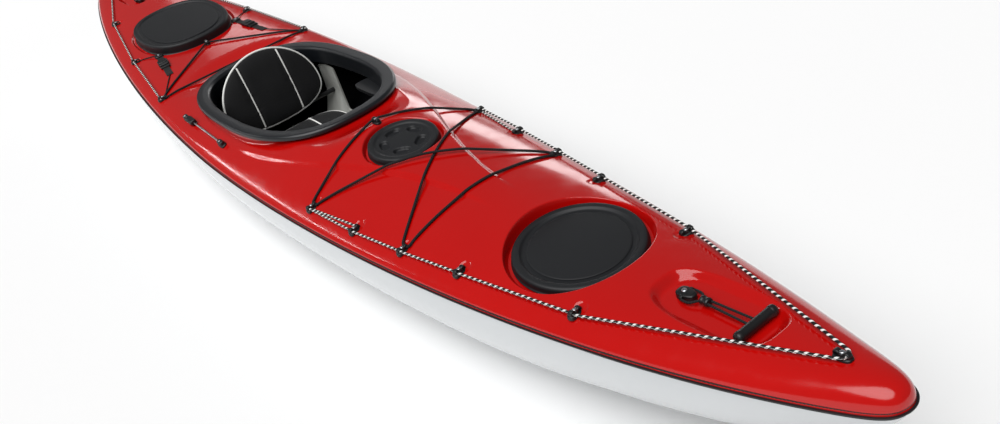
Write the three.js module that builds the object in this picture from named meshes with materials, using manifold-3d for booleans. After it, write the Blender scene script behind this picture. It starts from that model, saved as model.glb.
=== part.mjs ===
import * as THREE from "three";
import { mergeVertices } from "three/addons/utils/BufferGeometryUtils.js";
import Module from "manifold-3d";

const wasm = await Module();
wasm.setup();

// A touring kayak. Lengths are in millimetres. +X points to the bow, +Y to port and +Z up.
// The origin is on the floor, under the keel, at half the length.
const kayak = { length: 3660, beam: 610, widestAt: -70, wall: 4, gap: 0.3, overrun: 60, weld: 0.001 };
const sides = { port: 1, starboard: -1 };
const bowLength = kayak.length / 2 - kayak.widestAt;
const sternLength = kayak.length / 2 + kayak.widestAt;

// The plan of the boat: a rounded nose at both ends.
const planShares = {
  bow: { power: 1.69, noseLoss: 0.16 },
  stern: { power: 1.9, noseLoss: 0 },
  nosePower: 0.66,
  lossPower: 32,
  noseWall: 6,
};
const stationCounts = { bow: 13, stern: 11 };
const stationShares = { crowding: 1.35, tips: [0.982, 0.9915, 0.9972] };

// The hull below the seam and the keel line.
const seam = { height: 198, bowRise: 142, sternRise: 76, bowSweep: 8, sternSweep: 0, sweepPower: 12, edgeGap: 1.2 };
const keel = { flat: 90, bowRocker: 40.6, sternRocker: 25 };
const hullShares = {
  levelKeel: 0.25,
  middlePower: 2.9,
  flatMost: 0.75,
  bow: { powerLoss: 1.6, lossPower: 1.5, stemPower: 14, stemRound: 0.55 },
  stern: { powerLoss: 1.4, lossPower: 2, stemPower: 14, stemRound: 0.55 },
  turns: [0.8, 0.62, 0.44, 0.29, 0.145, 0],
};

// The deck above the seam: a flank with a round shoulder, a crown and a raised cowl with a crease.
const deck = { flank: 34, bowCrown: 42, foreCrown: 78, sternCrown: 38, peakAt: 250, fade: 750 };
const crease = { wide: 240, narrow: 35, aft: -50, fore: 950, step: 8, width: 24 };
const deckShares = {
  crownFade: 1.8,
  nosePower: 90,
  shoulderPower: 7,
  shoulderLoss: 3,
  crownRound: 1.5,
  creaseInset: 0.45,
  creaseWidth: 0.1,
  columns: [0.3, 0.58, 0.8, 0.93, 1],
};

// The cockpit coaming: a rolled lip on the deck's neck, with a wall down into the cockpit.
const coaming = { x: -83, lift: 1.5, halfLength: 406, halfWidth: 228, lip: 40, lipDrop: 8, wallDrop: 48 };
const coamingSkin = {
  thickness: 4,
  rise: 5,
  bevel: 0.5,
  roll: 4,
  neckInset: 22,
  neckTop: 1.5,
  neckReach: 60,
  dishDrop: 14,
};
const coamingShares = { pitch: 0.08, power: 2.6, dishInner: 1.05, dishOuter: 1.28 };

// Places along the boat, as shares of the bow's and the stern's length.
function ahead(share) {
  return kayak.widestAt + share * bowLength;
}
function astern(share) {
  return kayak.widestAt - share * sternLength;
}
const hatchSpacing = { dayFromCoaming: 220 };

// The three hatches. Each pan is sunk under the deck's own height at the hatch's middle.
const hatches = {
  bow: {
    x: ahead(0.6463),
    sunk: 35.34,
    halfLength: 129,
    halfWidth: 129,
    margin: 12,
    rim: 14,
    pitchShare: 0,
    powerShare: 2,
  },
  stern: {
    x: astern(0.5114),
    sunk: 10.31,
    halfLength: 195,
    halfWidth: 155,
    margin: 12,
    rim: 28,
    pitchShare: -0.045,
    powerShare: 2.4,
  },
  day: {
    x: coaming.x + coaming.halfLength + hatchSpacing.dayFromCoaming,
    sunk: 23.2,
    halfLength: 86,
    halfWidth: 86,
    margin: 9,
    rim: 9,
    pitchShare: -0.06,
    powerShare: 2,
  },
};
const hatchSkin = {
  skirt: 9,
  fit: 0.4,
  rimWall: 9,
  collarWall: 4,
  collarDrop: 9,
  cover: 6,
  crown: 6.5,
  step: 3,
  bead: 18,
  dip: 22.5,
  flat: 28.8,
};
const gripPocket = { count: 5, ring: 44, long: 17, wide: 10, depth: 5, thick: 11, powerShare: 2.5, sideCount: 12 };
const dayPod = { depth: 92, flange: 15, wall: 3, taper: 8 };

// Bulkheads that close the two compartments.
const bulkheads = { bow: ahead(0.5), stern: astern(0.2955), thick: 6 };

// Deck fittings along the deck line, each so far inboard of the boat's edge. One stands behind the coaming.
const fittingSpacing = { behindCoaming: 31, bungeeFromDay: 19, bungeeFromStern: 21 };
const fittings = {
  a: { x: ahead(0.2947), inboard: 34.9 },
  b: { x: ahead(0.3895), inboard: 33.5 },
  c: { x: ahead(0.4789), inboard: 36.7 },
  d: { x: ahead(0.57), inboard: 39.9 },
  e: { x: ahead(0.7221), inboard: 37.9 },
  g: { x: coaming.x - coaming.halfLength - fittingSpacing.behindCoaming, inboard: 37.7 },
  h: { x: astern(0.4602), inboard: 44.9 },
  i: { x: astern(0.6818), inboard: 50.3 },
};
const endFittings = {
  bow: ahead(0.9458),
  stern: astern(0.9261),
  bungee: hatches.day.x - hatches.day.halfLength - hatches.day.margin - fittingSpacing.bungeeFromDay,
  sternBungee: hatches.stern.x + hatches.stern.halfLength + hatches.stern.margin + fittingSpacing.bungeeFromStern,
};
const fitting = {
  length: 16,
  width: 32,
  height: 13.5,
  foot: 7,
  shoulder: 10,
  sink: 4,
  eye: 8,
  eyeHeight: 7,
  eyeRadius: 4,
};
const cord = { line: 2.5, bungee: 3, rest: 1.4, slack: 0.7, reach: 12 };
const cordCounts = { sides: 8, eyeSides: 6, spanSteps: 24, longSpanSteps: 60 };
const turnedCounts = { handle: 12, bore: 8, lock: 10, bar: 12, pin: 12, rod: 10 };

// The grab toggles: a pressed trough in the deck with an anchor, a cord loop and a handle.
const toggle = { trough: 230, troughWidth: 106, depth: 16 };
const troughs = { bow: ahead(0.8247), stern: astern(0.8011) };
const anchor = {
  length: 24,
  width: 32,
  height: 13,
  foot: 7,
  shoulder: 10,
  sink: -0.3,
  fromEnd: 50,
  eyeRadius: 3.4,
  eyeHeight: 6.5,
};
const handle = { length: 88, radius: 10, fromEnd: 36, bore: 2.9, lift: 0.4 };
const toggleCord = { radius: 2.2, spread: 7, turn: 4, pinch: 4.5 };
const cordLock = { length: 18, radius: 9, fromAnchor: 8 };

// The seat.
const seat = {
  front: 120,
  back: -300,
  halfWidth: 195,
  wall: 5,
  floor: 40,
  rearSide: 200,
  frontSide: 62,
  foot: 40,
  footBevel: 15,
  cushionFront: 25,
  cushionBack: 74,
  cushionSide: 37,
  backSide: 40,
};
const seatShares = { rings: [0, 0.3, 0.55, 0.8, 1], bench: 0.86, kneeHeight: 0.45, rise: 1.6 };
const cushion = {
  front: seat.front - seat.cushionFront,
  back: seat.back + seat.cushionBack,
  halfWidth: seat.halfWidth - seat.cushionSide,
  thick: 46,
  edge: 20,
  corner: 10,
  seam: 66,
  seamDepth: 6,
  seamWidth: 7,
};
const backrest = {
  x: -229,
  bottom: 118,
  widest: 190,
  top: 330,
  halfWidth: seat.halfWidth - seat.backSide,
  thick: 34,
  edge: 14,
  seam: 66,
  seamDepth: 6,
  seamWidth: 7,
};
const backShares = { topPower: 2, bottomPower: 2.5, lean: 0.245 };
const padShares = {
  columns: [0.25, 0.6],
  rim: [0.86, 0.95, 0.985],
  rows: [0.02, 0.1, 0.3, 0.5, 0.7, 0.9, 0.98],
  sidePower: 4,
  facePower: 6,
};
const backFrame = { plate: 6, margin: 14, stem: 28, barRadius: 7, barRise: 8, barFit: 0.5 };

// Thigh braces under the coaming.
const thighBrace = { fromFront: 216, fromSide: 63, length: 190, width: 62, thick: 9, powerShare: 4, sideCount: 16 };

// Foot rails and pedals.
const footRail = {
  aft: bulkheads.bow - 480,
  fore: bulkheads.bow - 100,
  z: 136,
  height: 24,
  thick: 12,
  standOff: 14,
  foot: 34,
};
const pedal = { ahead: 160, width: 62, height: 92, thick: 7, clipWall: 4, clipLength: 40, fit: 0.4, lip: 8 };

// The skeg: a blade in a box on the keel line, moved by a slider on the side deck through a cable.
const skeg = { pivotX: astern(0.6023), pivotZ: 76, thick: 6, pin: 4, long: 256, deep: 52 };
const skegShares = [
  [0.06, 0.2],
  [-0.35, 0.2],
  [-0.97, -0.2],
  [-1, -0.75],
  [-0.92, -1],
  [-0.25, -0.72],
  [0.05, -0.3],
];
const skegBox = { wall: 4, clearance: 4, front: 34, top: 34, foot: 16, footThick: 4, slotFront: 24 };
const slider = { aft: -316, fore: -20, y: 252, post: 26, postWidth: 16, height: 15, rod: 2.5, rodHeight: 9 };
const knob = { from: 56, length: 44, width: 20, crown: 13, height: 18, shoulder: 11, fit: 0.5, lift: 1.5 };
const cable = { radius: 3, inward: 30, drop: 38, dip: 30, start: 10, lead: 60, middle: 105, centre: 32, arch: 19 };

// Straps with buckles at the front corners of the stern hatch.
const strap = {
  width: 25,
  thick: 2,
  hookX: hatches.stern.x + 128,
  hookY: hatches.stern.halfWidth - 13,
  tailX: hatches.stern.x + 320,
  tailY: hatches.stern.halfWidth + 18,
};
const buckle = { length: 62, width: 32, height: 11, share: 0.55 };

// Finishes.
function finish(colour, roughness, metalness = 0) {
  return new THREE.MeshStandardMaterial({ color: colour, roughness, metalness });
}
const finishes = {
  redGloss: finish("#b3150f", 0.18),
  whiteGloss: finish("#eef0f0", 0.2),
  blackSatin: finish("#17181a", 0.5),
  charcoal: finish("#24282c", 0.55),
  rubber: finish("#1d2125", 0.75),
  greyPlastic: finish("#a9aaa6", 0.5),
  fabric: finish("#141416", 0.9),
  line: finish("#2a2a2c", 0.85),
  steel: finish("#b9bcc0", 0.3, 1),
};

// Solids from closed geometry, and back.
function solid(geometry) {
  const bare = new THREE.BufferGeometry().setAttribute("position", geometry.getAttribute("position"));
  bare.setIndex(geometry.index);
  const merged = mergeVertices(bare, kayak.weld);
  const triVerts = new Uint32Array(merged.index.array);
  const vertProperties = new Float32Array(merged.attributes.position.array);
  return new wasm.Manifold(new wasm.Mesh({ numProp: 3, vertProperties, triVerts }));
}

function geometryOf(made) {
  const mesh = made.getMesh();
  const geometry = new THREE.BufferGeometry();
  geometry.setAttribute("position", new THREE.BufferAttribute(new Float32Array(mesh.vertProperties), 3));
  geometry.setIndex(new THREE.BufferAttribute(new Uint32Array(mesh.triVerts), 1));
  return geometry;
}

function volumeOf(points, faces) {
  const cross = new THREE.Vector3();
  return faces.reduce((sum, [a, b, c]) => sum + cross.crossVectors(points[b], points[c]).dot(points[a]), 0);
}

function faced(points, faces) {
  const outward = volumeOf(points, faces) > 0;
  const geometry = new THREE.BufferGeometry().setFromPoints(points);
  geometry.setIndex(faces.flatMap(([a, b, c]) => (outward ? [a, b, c] : [a, c, b])));
  return geometry;
}

// Triangles that fill a flat ring, turning the way the ring runs.
function capFaces(ring, start) {
  const box = new THREE.Box3().setFromPoints(ring).getSize(new THREE.Vector3()).toArray();
  const flat = box.indexOf(Math.min(...box));
  const contour = ring.map((p) => new THREE.Vector2(...p.toArray().filter((_, axis) => axis !== flat)));
  const turn = Math.sign(THREE.ShapeUtils.area(contour));
  return THREE.ShapeUtils.triangulateShape(contour, []).map((face) => {
    const same = Math.sign(THREE.ShapeUtils.area(face.map((i) => contour[i]))) === turn;
    const [i, j, k] = face.map((corner) => start + corner);
    return same ? [i, j, k] : [i, k, j];
  });
}

// A skin through rings of equally many points. A ring of one point is a tip; other open ends get a flat cap.
function loft(rings, closed = false) {
  const points = rings.flat();
  const starts = rings.map((_, i) => rings.slice(0, i).reduce((sum, ring) => sum + ring.length, 0));
  const faces = [];
  const pairs = closed ? rings.length : rings.length - 1;
  for (let i = 0; i < pairs; i++) {
    const next = (i + 1) % rings.length;
    const [ring, other] = [rings[i].length, rings[next].length];
    const count = Math.max(ring, other);
    for (let j = 0; j < count; j++) {
      const k = (j + 1) % count;
      const [a, b] = [starts[i] + (ring > 1 ? j : 0), starts[i] + (ring > 1 ? k : 0)];
      const [c, d] = [starts[next] + (other > 1 ? j : 0), starts[next] + (other > 1 ? k : 0)];
      if (ring > 1) faces.push([a, b, c]);
      if (other > 1) faces.push([b, d, c]);
    }
  }
  if (!closed) {
    const last = rings.length - 1;
    if (rings[0].length > 1) faces.push(...capFaces(rings[0], 0).map(([i, j, k]) => [i, k, j]));
    if (rings[last].length > 1) faces.push(...capFaces(rings[last], starts[last]));
  }
  return faced(points, faces);
}

// A plain prism of an outline of [x, y] points between two heights.
function prism(outline, low, high, frame = new THREE.Matrix4()) {
  const shape = new THREE.Shape(outline.map(([x, y]) => new THREE.Vector2(x, y)));
  const geometry = new THREE.ExtrudeGeometry(shape, { depth: high - low, bevelEnabled: false, steps: 1 });
  return geometry.translate(0, 0, low).applyMatrix4(frame);
}

function block(x0, x1, y0, y1, z0, z1) {
  return new THREE.BoxGeometry(x1 - x0, y1 - y0, z1 - z0).translate((x0 + x1) / 2, (y0 + y1) / 2, (z0 + z1) / 2);
}

const roundCount = 24;
function outline(halfLength, halfWidth, powerShare, count = roundCount) {
  return Array.from({ length: count }, (_, i) => {
    const angle = (i / count) * 2 * Math.PI;
    const [c, s] = [Math.cos(angle), Math.sin(angle)];
    const x = halfLength * Math.sign(c) * Math.abs(c) ** (2 / powerShare);
    return [x, halfWidth * Math.sign(s) * Math.abs(s) ** (2 / powerShare)];
  });
}

// A turned or oval piece from a profile of [inset from the outline, height] points.
function ringLoft(halfLength, halfWidth, powerShare, profile, frame, closed, count = roundCount) {
  const rings = profile.map(([inset, height]) =>
    outline(halfLength - inset, halfWidth - inset, powerShare, count).map(([x, y]) => new THREE.Vector3(x, y, height)),
  );
  return loft(rings, closed).applyMatrix4(frame);
}

function tilted(x, z, pitch) {
  return new THREE.Matrix4().makeTranslation(x, 0, z).multiply(new THREE.Matrix4().makeRotationY(-pitch));
}

function smooth(value) {
  const t = Math.min(1, Math.max(0, value));
  return t * t * (3 - 2 * t);
}

// The form of the boat, as functions of the place along it. An inset gives the surface that far inside.
function along(x, inset = 0) {
  const full = x > kayak.widestAt ? bowLength : sternLength;
  const shorter = inset > 0 ? inset * planShares.noseWall : inset;
  return Math.min(1, Math.abs(x - kayak.widestAt) / (full - shorter));
}

function halfBeam(x, inset = 0) {
  const { power, noseLoss } = x > kayak.widestAt ? planShares.bow : planShares.stern;
  const u = along(x, inset);
  const nosePower = planShares.nosePower - noseLoss * u ** planShares.lossPower;
  return (kayak.beam / 2 - inset) * (1 - u ** power) ** nosePower;
}

function seamHeight(x) {
  const [rise, sweep] = x > kayak.widestAt ? [seam.bowRise, seam.bowSweep] : [seam.sternRise, seam.sternSweep];
  return seam.height + rise * along(x) ** 2 + sweep * along(x) ** seam.sweepPower;
}

function keelHeight(x) {
  const rocker = x > kayak.widestAt ? keel.bowRocker : keel.sternRocker;
  return rocker * Math.max(0, (along(x) - hullShares.levelKeel) / (1 - hullShares.levelKeel)) ** 2;
}

// The power of the hull's round section, which falls towards the sharp ends.
function sectionPower(x, inset) {
  const { powerLoss, lossPower } = x > kayak.widestAt ? hullShares.bow : hullShares.stern;
  return hullShares.middlePower - powerLoss * along(x, inset) ** lossPower;
}

function crownHeight(x) {
  const fore = deck.foreCrown * Math.exp(-((Math.max(0, x - deck.peakAt) / deck.fade) ** deckShares.crownFade));
  const blend = smooth((x - coaming.x + coaming.halfLength) / (2 * coaming.halfLength));
  return deck.sternCrown + (deck.bowCrown + fore - deck.sternCrown) * blend;
}

function creaseAt(x) {
  const turn = Math.PI * Math.min(1, Math.max(0, x / crease.fore));
  return crease.narrow + (crease.wide - crease.narrow) * (0.5 + 0.5 * Math.cos(turn));
}

function creaseStep(x) {
  return crease.step * smooth((x - crease.aft) / crease.wide) * smooth((crease.fore - x) / crease.wide);
}

const coamingHeight = seamHeight(coaming.x) + crownHeight(coaming.x) + coaming.lift;
function coamingPlane(x) {
  return coamingHeight + Math.tan(coamingShares.pitch) * (x - coaming.x);
}

function deckHeight(x, y, inset = 0) {
  const half = halfBeam(x, inset);
  const u = along(x, inset);
  const t = half > 0 ? Math.min(1, Math.abs(y) / half) : 1;
  const nose = (1 - u ** deckShares.nosePower) ** 0.5;
  const shoulder = (1 - t ** (deckShares.shoulderPower - deckShares.shoulderLoss * u * u)) ** 0.5;
  const rise = crownHeight(x) - deck.flank;
  const step = creaseStep(x);
  const cowl = step * smooth(0.5 + (creaseAt(x) - Math.abs(y)) / crease.width);
  const crown = (rise - step * rise / (rise + deck.flank)) * (1 - t * t) ** deckShares.crownRound;
  const plain = seamHeight(x) + nose * (deck.flank * shoulder + crown + cowl * (1 - t * t));
  const dx = Math.abs(x - coaming.x) / coaming.halfLength;
  const dy = Math.abs(y) / coaming.halfWidth;
  const ring = (dx ** coamingShares.power + dy ** coamingShares.power) ** (1 / coamingShares.power);
  const dish = smooth((coamingShares.dishOuter - ring) / (coamingShares.dishOuter - coamingShares.dishInner));
  return plain - dish * Math.max(0, plain - coamingPlane(x) + coamingSkin.dishDrop) - inset;
}

// Half sections from the centreline to the seam.
function deckColumns(x, half) {
  const mid = Math.min(creaseAt(x), deckShares.creaseInset * half);
  const width = Math.min(crease.width / 2, deckShares.creaseWidth * half);
  const outer = deckShares.columns.map((share) => mid + width + (half - mid - width) * share);
  return [(mid - width) / 2, mid - width, mid + width, ...outer];
}

function deckHalf(x, inset) {
  return deckColumns(x, halfBeam(x, inset)).map((y) => [y, deckHeight(x, y, inset)]);
}

function hullHalf(x, inset) {
  const half = halfBeam(x, inset);
  const { stemPower, stemRound } = x > kayak.widestAt ? hullShares.bow : hullShares.stern;
  const power = sectionPower(x, inset);
  const floor = keelHeight(x) + inset;
  const depth = (seamHeight(x) - floor) * (1 - along(x, inset) ** stemPower) ** stemRound;
  const turned = hullShares.turns.map((share) => {
    const angle = (share * Math.PI) / 2;
    const side = Math.cos(angle) ** (2 / power);
    return [half * side, seamHeight(x) - depth * Math.sin(angle) ** (2 / power)];
  });
  return [[Math.min(keel.flat / 2, hullShares.flatMost * turned[0][0]), seamHeight(x) - depth], ...turned];
}

function stations(inset = 0) {
  const half = (count) => {
    const even = Array.from({ length: count - 1 }, (_, i) => 1 - (1 - (i + 1) / count) ** stationShares.crowding);
    return [...even, ...stationShares.tips];
  };
  const shorter = inset > 0 ? inset * planShares.noseWall : inset;
  const stern = half(stationCounts.stern).map((share) => kayak.widestAt - share * (sternLength - shorter));
  const bow = half(stationCounts.bow).map((share) => kayak.widestAt + share * (bowLength - shorter));
  return [...stern.reverse(), kayak.widestAt, ...bow];
}

// A hull-shaped body from a function that gives each station's ring of [y, z] points.
function boatLoft(inset, ringAt, tipLift = 0) {
  const shorter = inset > 0 ? inset * planShares.noseWall : inset;
  const ends = [kayak.widestAt - sternLength + shorter, kayak.widestAt + bowLength - shorter];
  const rings = stations(inset).map((x) => ringAt(x).map(([y, z]) => new THREE.Vector3(x, y, z)));
  const tips = ends.map((x) => [new THREE.Vector3(x, 0, seamHeight(x) + tipLift)]);
  return solid(loft([tips[0], ...rings, tips[1]]));
}

function mirrored(half) {
  return [...half.map(([y, z]) => [-y, z]).reverse(), ...half];
}

function deckBody(inset) {
  const foot = inset > 0 ? -kayak.beam : seam.edgeGap;
  const ringAt = (x) => {
    const half = deckHalf(x, inset).map(([y, z]) => [y, Math.max(z, seamHeight(x) + foot)]);
    const edge = half[half.length - 1][0];
    const skirt = inset > 0 ? [[edge, seamHeight(x) + foot]] : [];
    return mirrored([...half, ...skirt]);
  };
  return boatLoft(inset, ringAt, inset > 0 ? 0 : foot);
}

function hullBody(inset) {
  const top = inset > 0 ? kayak.beam : -seam.edgeGap;
  const ringAt = (x) => {
    const half = hullHalf(x, inset).map(([y, z]) => [y, Math.min(z, seamHeight(x) + top)]);
    const edge = half[half.length - 1][0];
    const skirt = inset > 0 ? [[edge, seamHeight(x) + top]] : [];
    return mirrored([...half, ...skirt]);
  };
  return boatLoft(inset, ringAt, inset > 0 ? 0 : top);
}

function moved(body, x, y, z) {
  return solid(geometryOf(body).translate(x, y, z));
}

const deckOuter = deckBody(0);
const deckInner = deckBody(kayak.wall);
const hullInner = hullBody(kayak.wall);

// The hollow of the boat, drawn in by the gap that an inner piece keeps from the shells.
function hollow() {
  const room = deckInner.intersect(hullInner);
  const near = kayak.gap * Math.SQRT2;
  const shifts = [
    [0, near, 0],
    [0, -near, 0],
    [0, 0, near],
    [0, 0, -near],
  ];
  return shifts.map((shift) => moved(room, ...shift)).reduce((all, one) => all.intersect(one));
}
const inside = hollow();

// A cord: an extrusion with one step at each point of its route.
class Route extends THREE.Curve {
  constructor(points) {
    super();
    this.points = points;
  }
  getUtoTmapping(u) {
    return u;
  }
  getPoint(t, target = new THREE.Vector3()) {
    const place = Math.min(1, Math.max(0, t)) * (this.points.length - 1);
    const i = Math.min(this.points.length - 2, Math.floor(place));
    return target.lerpVectors(this.points[i], this.points[i + 1], place - i);
  }
}

function tube(points, radius) {
  const round = outline(radius, radius, 2, cordCounts.sides).map(([x, y]) => new THREE.Vector2(x, y));
  const steps = points.length - 1;
  return new THREE.ExtrudeGeometry(new THREE.Shape(round), { steps, extrudePath: new Route(points) });
}

// The skeg cable's route under the side deck, from the slider to the box.
function cableRoute() {
  const { inward, drop, dip, start, lead, middle, centre, arch } = cable;
  const top = skeg.pivotZ + skegBox.top;
  const boxFront = skeg.pivotX + skegBox.front + skegBox.wall;
  const level = seamHeight(slider.aft);
  return [
    [slider.aft - start, inward - slider.y, level],
    [slider.aft - lead, inward - slider.y, level - dip],
    [bulkheads.stern + lead, 2 * inward - slider.y, level - drop],
    [bulkheads.stern - lead, 2 * inward + start - slider.y, level - drop],
    [skeg.pivotX + 4 * lead, -middle, top + drop],
    [skeg.pivotX + 2 * lead, -centre, top + arch],
    [boxFront + 4 * start, 0, top - start],
    [boxFront + start, 0, top - start],
    [boxFront + kayak.gap, 0, top - start],
  ].map((place) => new THREE.Vector3(...place));
}

// The assembly.
const boat = new THREE.Group();

function addPiece(name, geometry, material, parent = boat) {
  const mesh = new THREE.Mesh(geometry, material);
  mesh.name = name;
  parent.add(mesh);
  return mesh;
}

// The hull with the slot for the skeg.
function hullShell() {
  const slot = block(
    skeg.pivotX - skeg.long - skegBox.clearance,
    skeg.pivotX + skegBox.slotFront,
    -skeg.thick / 2 - skegBox.clearance,
    skeg.thick / 2 + skegBox.clearance,
    -kayak.overrun,
    kayak.overrun,
  );
  return hullBody(0).subtract(hullInner).subtract(solid(slot));
}

// A pressed pan: a pocket in the deck with its own floor, open at the top.
function pressPan(shell, halfLength, halfWidth, powerShare, frame) {
  const wide = outline(halfLength + kayak.wall, halfWidth + kayak.wall, powerShare);
  const pan = solid(prism(wide, -kayak.wall, kayak.overrun, frame)).intersect(deckOuter);
  return shell.add(pan).subtract(solid(prism(outline(halfLength, halfWidth, powerShare), 0, kayak.overrun, frame)));
}

function hatchFrame(hatch) {
  return tilted(hatch.x, deckHeight(hatch.x, 0) - hatch.sunk, hatch.pitchShare);
}

function rimInset(extra) {
  return hatchSkin.skirt + hatchSkin.fit + extra;
}

const openingInset = rimInset(hatchSkin.rimWall) - hatchSkin.collarWall;

function troughFrame(x) {
  const aft = deckHeight(x - toggle.trough / 2, 0);
  const fore = deckHeight(x + toggle.trough / 2, 0);
  const pitch = Math.atan2(fore - aft, toggle.trough);
  return tilted(x, Math.min(deckHeight(x, 0), (aft + fore) / 2) - toggle.depth, pitch);
}
const troughPowerShare = 4;

function deckShell() {
  let shell = deckOuter.subtract(deckInner);
  for (const hatch of Object.values(hatches)) {
    const frame = hatchFrame(hatch);
    const [long, wide] = [hatch.halfLength + hatch.margin, hatch.halfWidth + hatch.margin];
    shell = pressPan(shell, long, wide, hatch.powerShare, frame);
    const hole = outline(hatch.halfLength - openingInset, hatch.halfWidth - openingInset, hatch.powerShare);
    shell = shell.subtract(solid(prism(hole, -kayak.overrun, kayak.overrun, frame)));
  }
  for (const x of Object.values(troughs)) {
    shell = pressPan(shell, toggle.trough / 2, toggle.troughWidth / 2, troughPowerShare, troughFrame(x));
  }
  const frame = tilted(coaming.x, coamingHeight, coamingShares.pitch);
  const neckOutline = (inset) =>
    outline(coaming.halfLength - inset, coaming.halfWidth - inset, coamingShares.power, coamingCount);
  const neck = prism(neckOutline(coamingSkin.neckInset), -coamingSkin.neckReach, -coamingSkin.neckTop, frame);
  const mouth = neckOutline(coamingSkin.neckInset + kayak.wall);
  const hole = solid(prism(mouth, -kayak.length, kayak.length, frame));
  return shell.add(solid(neck).subtract(deckInner)).subtract(hole);
}

const coamingCount = 36;
function coamingRing() {
  const { thickness, rise, bevel, roll, neckInset, neckTop } = coamingSkin;
  const wallInset = neckInset + kayak.wall + kayak.gap;
  const under = kayak.gap - neckTop;
  const profile = [
    [0, -coaming.lipDrop],
    [0, 0],
    [roll, rise - bevel],
    [coaming.lip / 2, rise],
    [coaming.lip - roll, rise - roll / 2],
    [coaming.lip, -roll],
    [coaming.lip, -coaming.wallDrop],
    [wallInset, -coaming.wallDrop],
    [wallInset, under],
    [thickness + roll, under],
    [thickness, -roll],
    [thickness, -coaming.lipDrop],
  ];
  const frame = tilted(coaming.x, coamingHeight, coamingShares.pitch);
  const { halfLength, halfWidth } = coaming;
  return ringLoft(halfLength, halfWidth, coamingShares.power, profile, frame, true, coamingCount);
}

// The seam strip: a band outside the seam with a web between the edges of the two shells.
const strip = { band: 2, height: 13, web: 1.8, webReach: 3.6, mitreShare: 0.5 };
function seamTrim() {
  const xs = stations();
  const tip = (share) => kayak.widestAt + share;
  const path = [
    [tip(bowLength), 0],
    ...xs.map((x) => [x, halfBeam(x)]).reverse(),
    [tip(-sternLength), 0],
    ...xs.map((x) => [x, -halfBeam(x)]),
  ];
  const { band, height, web, webReach } = strip;
  const profile = [
    [kayak.gap, -height / 2],
    [kayak.gap + band, -height / 2],
    [kayak.gap + band, height / 2],
    [kayak.gap, height / 2],
    [kayak.gap, web / 2],
    [-webReach, web / 2],
    [-webReach, -web / 2],
    [kayak.gap, -web / 2],
  ];
  const rings = path.map(([x, y], i) => {
    const [ax, ay] = path[(i + path.length - 1) % path.length];
    const [bx, by] = path[(i + 1) % path.length];
    const inward = new THREE.Vector2(x - ax, y - ay).normalize();
    const onward = new THREE.Vector2(bx - x, by - y).normalize();
    const mean = inward.clone().add(onward).normalize();
    const stretch = 1 / Math.max(strip.mitreShare, mean.dot(inward));
    const normal = new THREE.Vector2(mean.y, -mean.x).multiplyScalar(stretch);
    return profile.map(([out, up]) => {
      const at = x + normal.x * out;
      return new THREE.Vector3(at, y + normal.y * out, seamHeight(at) + up);
    });
  });
  return loft(rings, true);
}

addPiece("hull_shell", geometryOf(hullShell()), finishes.whiteGloss);
const deckMesh = addPiece("deck_shell", geometryOf(deckShell()), finishes.redGloss);
addPiece("seam_trim", seamTrim(), finishes.blackSatin);
addPiece("coaming", coamingRing(), finishes.charcoal);

// Where a vertical line meets the deck's own facets.
const caster = new THREE.Raycaster();
const down = new THREE.Vector3(0, 0, -1);
function onDeck(x, y) {
  caster.set(new THREE.Vector3(x, y, kayak.beam), down);
  const hit = caster.intersectObject(deckMesh)[0];
  const height = hit ? hit.point.z : seamHeight(x);
  const normal = hit ? hit.face.normal.clone() : new THREE.Vector3(0, 0, 1);
  return { point: new THREE.Vector3(x, y, height), normal };
}

// A frame that stands on the deck, with local x along the heading and local z along the deck's normal.
function deckFrame(x, y, heading) {
  const { point, normal } = onDeck(x, y);
  const across = new THREE.Vector3().crossVectors(normal, heading).normalize();
  const forward = new THREE.Vector3().crossVectors(across, normal).normalize();
  return new THREE.Matrix4().makeBasis(forward, across, normal).setPosition(point);
}

// What stands on the deck gets a foot cut to the deck's own surface.
const deckSeat = moved(deckOuter, 0, 0, kayak.gap);
function seated(geometry) {
  return geometryOf(solid(geometry).subtract(deckSeat));
}

// Bulkheads cut to the inside of the boat.
for (const [end, x] of [["bow", bulkheads.bow], ["stern", bulkheads.stern]]) {
  const slab = block(x, x + bulkheads.thick, -kayak.beam, kayak.beam, -kayak.beam, kayak.beam);
  let wall = solid(slab).intersect(inside);
  if (end === "stern") wall = wall.subtract(solid(tube(cableRoute(), cable.radius + kayak.gap)));
  addPiece(end + "_bulkhead", geometryOf(wall), finishes.blackSatin);
}

// Hatch rims, covers and the day pod.
function hatchRim(hatch) {
  const outer = rimInset(0);
  const inner = rimInset(hatchSkin.rimWall);
  const profile = [
    [outer, kayak.gap],
    [outer, hatch.rim],
    [inner, hatch.rim],
    [inner, -hatchSkin.collarDrop],
    [openingInset + kayak.gap, -hatchSkin.collarDrop],
    [openingInset + kayak.gap, kayak.gap],
  ];
  return ringLoft(hatch.halfLength, hatch.halfWidth, hatch.powerShare, profile, hatchFrame(hatch), true);
}

function hatchCover(hatch, thick, crown) {
  const { skirt, step, bead, dip, flat } = hatchSkin;
  const { rim } = hatch;
  const profile = [
    [skirt, rim + kayak.gap],
    [skirt, kayak.gap],
    [step / 2, kayak.gap],
    [0, step],
    [0, rim],
    [step, rim + thick - step / 2],
    [skirt, rim + thick],
    [bead, rim + thick],
    [dip, rim + thick - step],
    [flat, rim + thick - step + crown - thick],
  ];
  return ringLoft(hatch.halfLength, hatch.halfWidth, hatch.powerShare, profile, hatchFrame(hatch), false);
}

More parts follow.
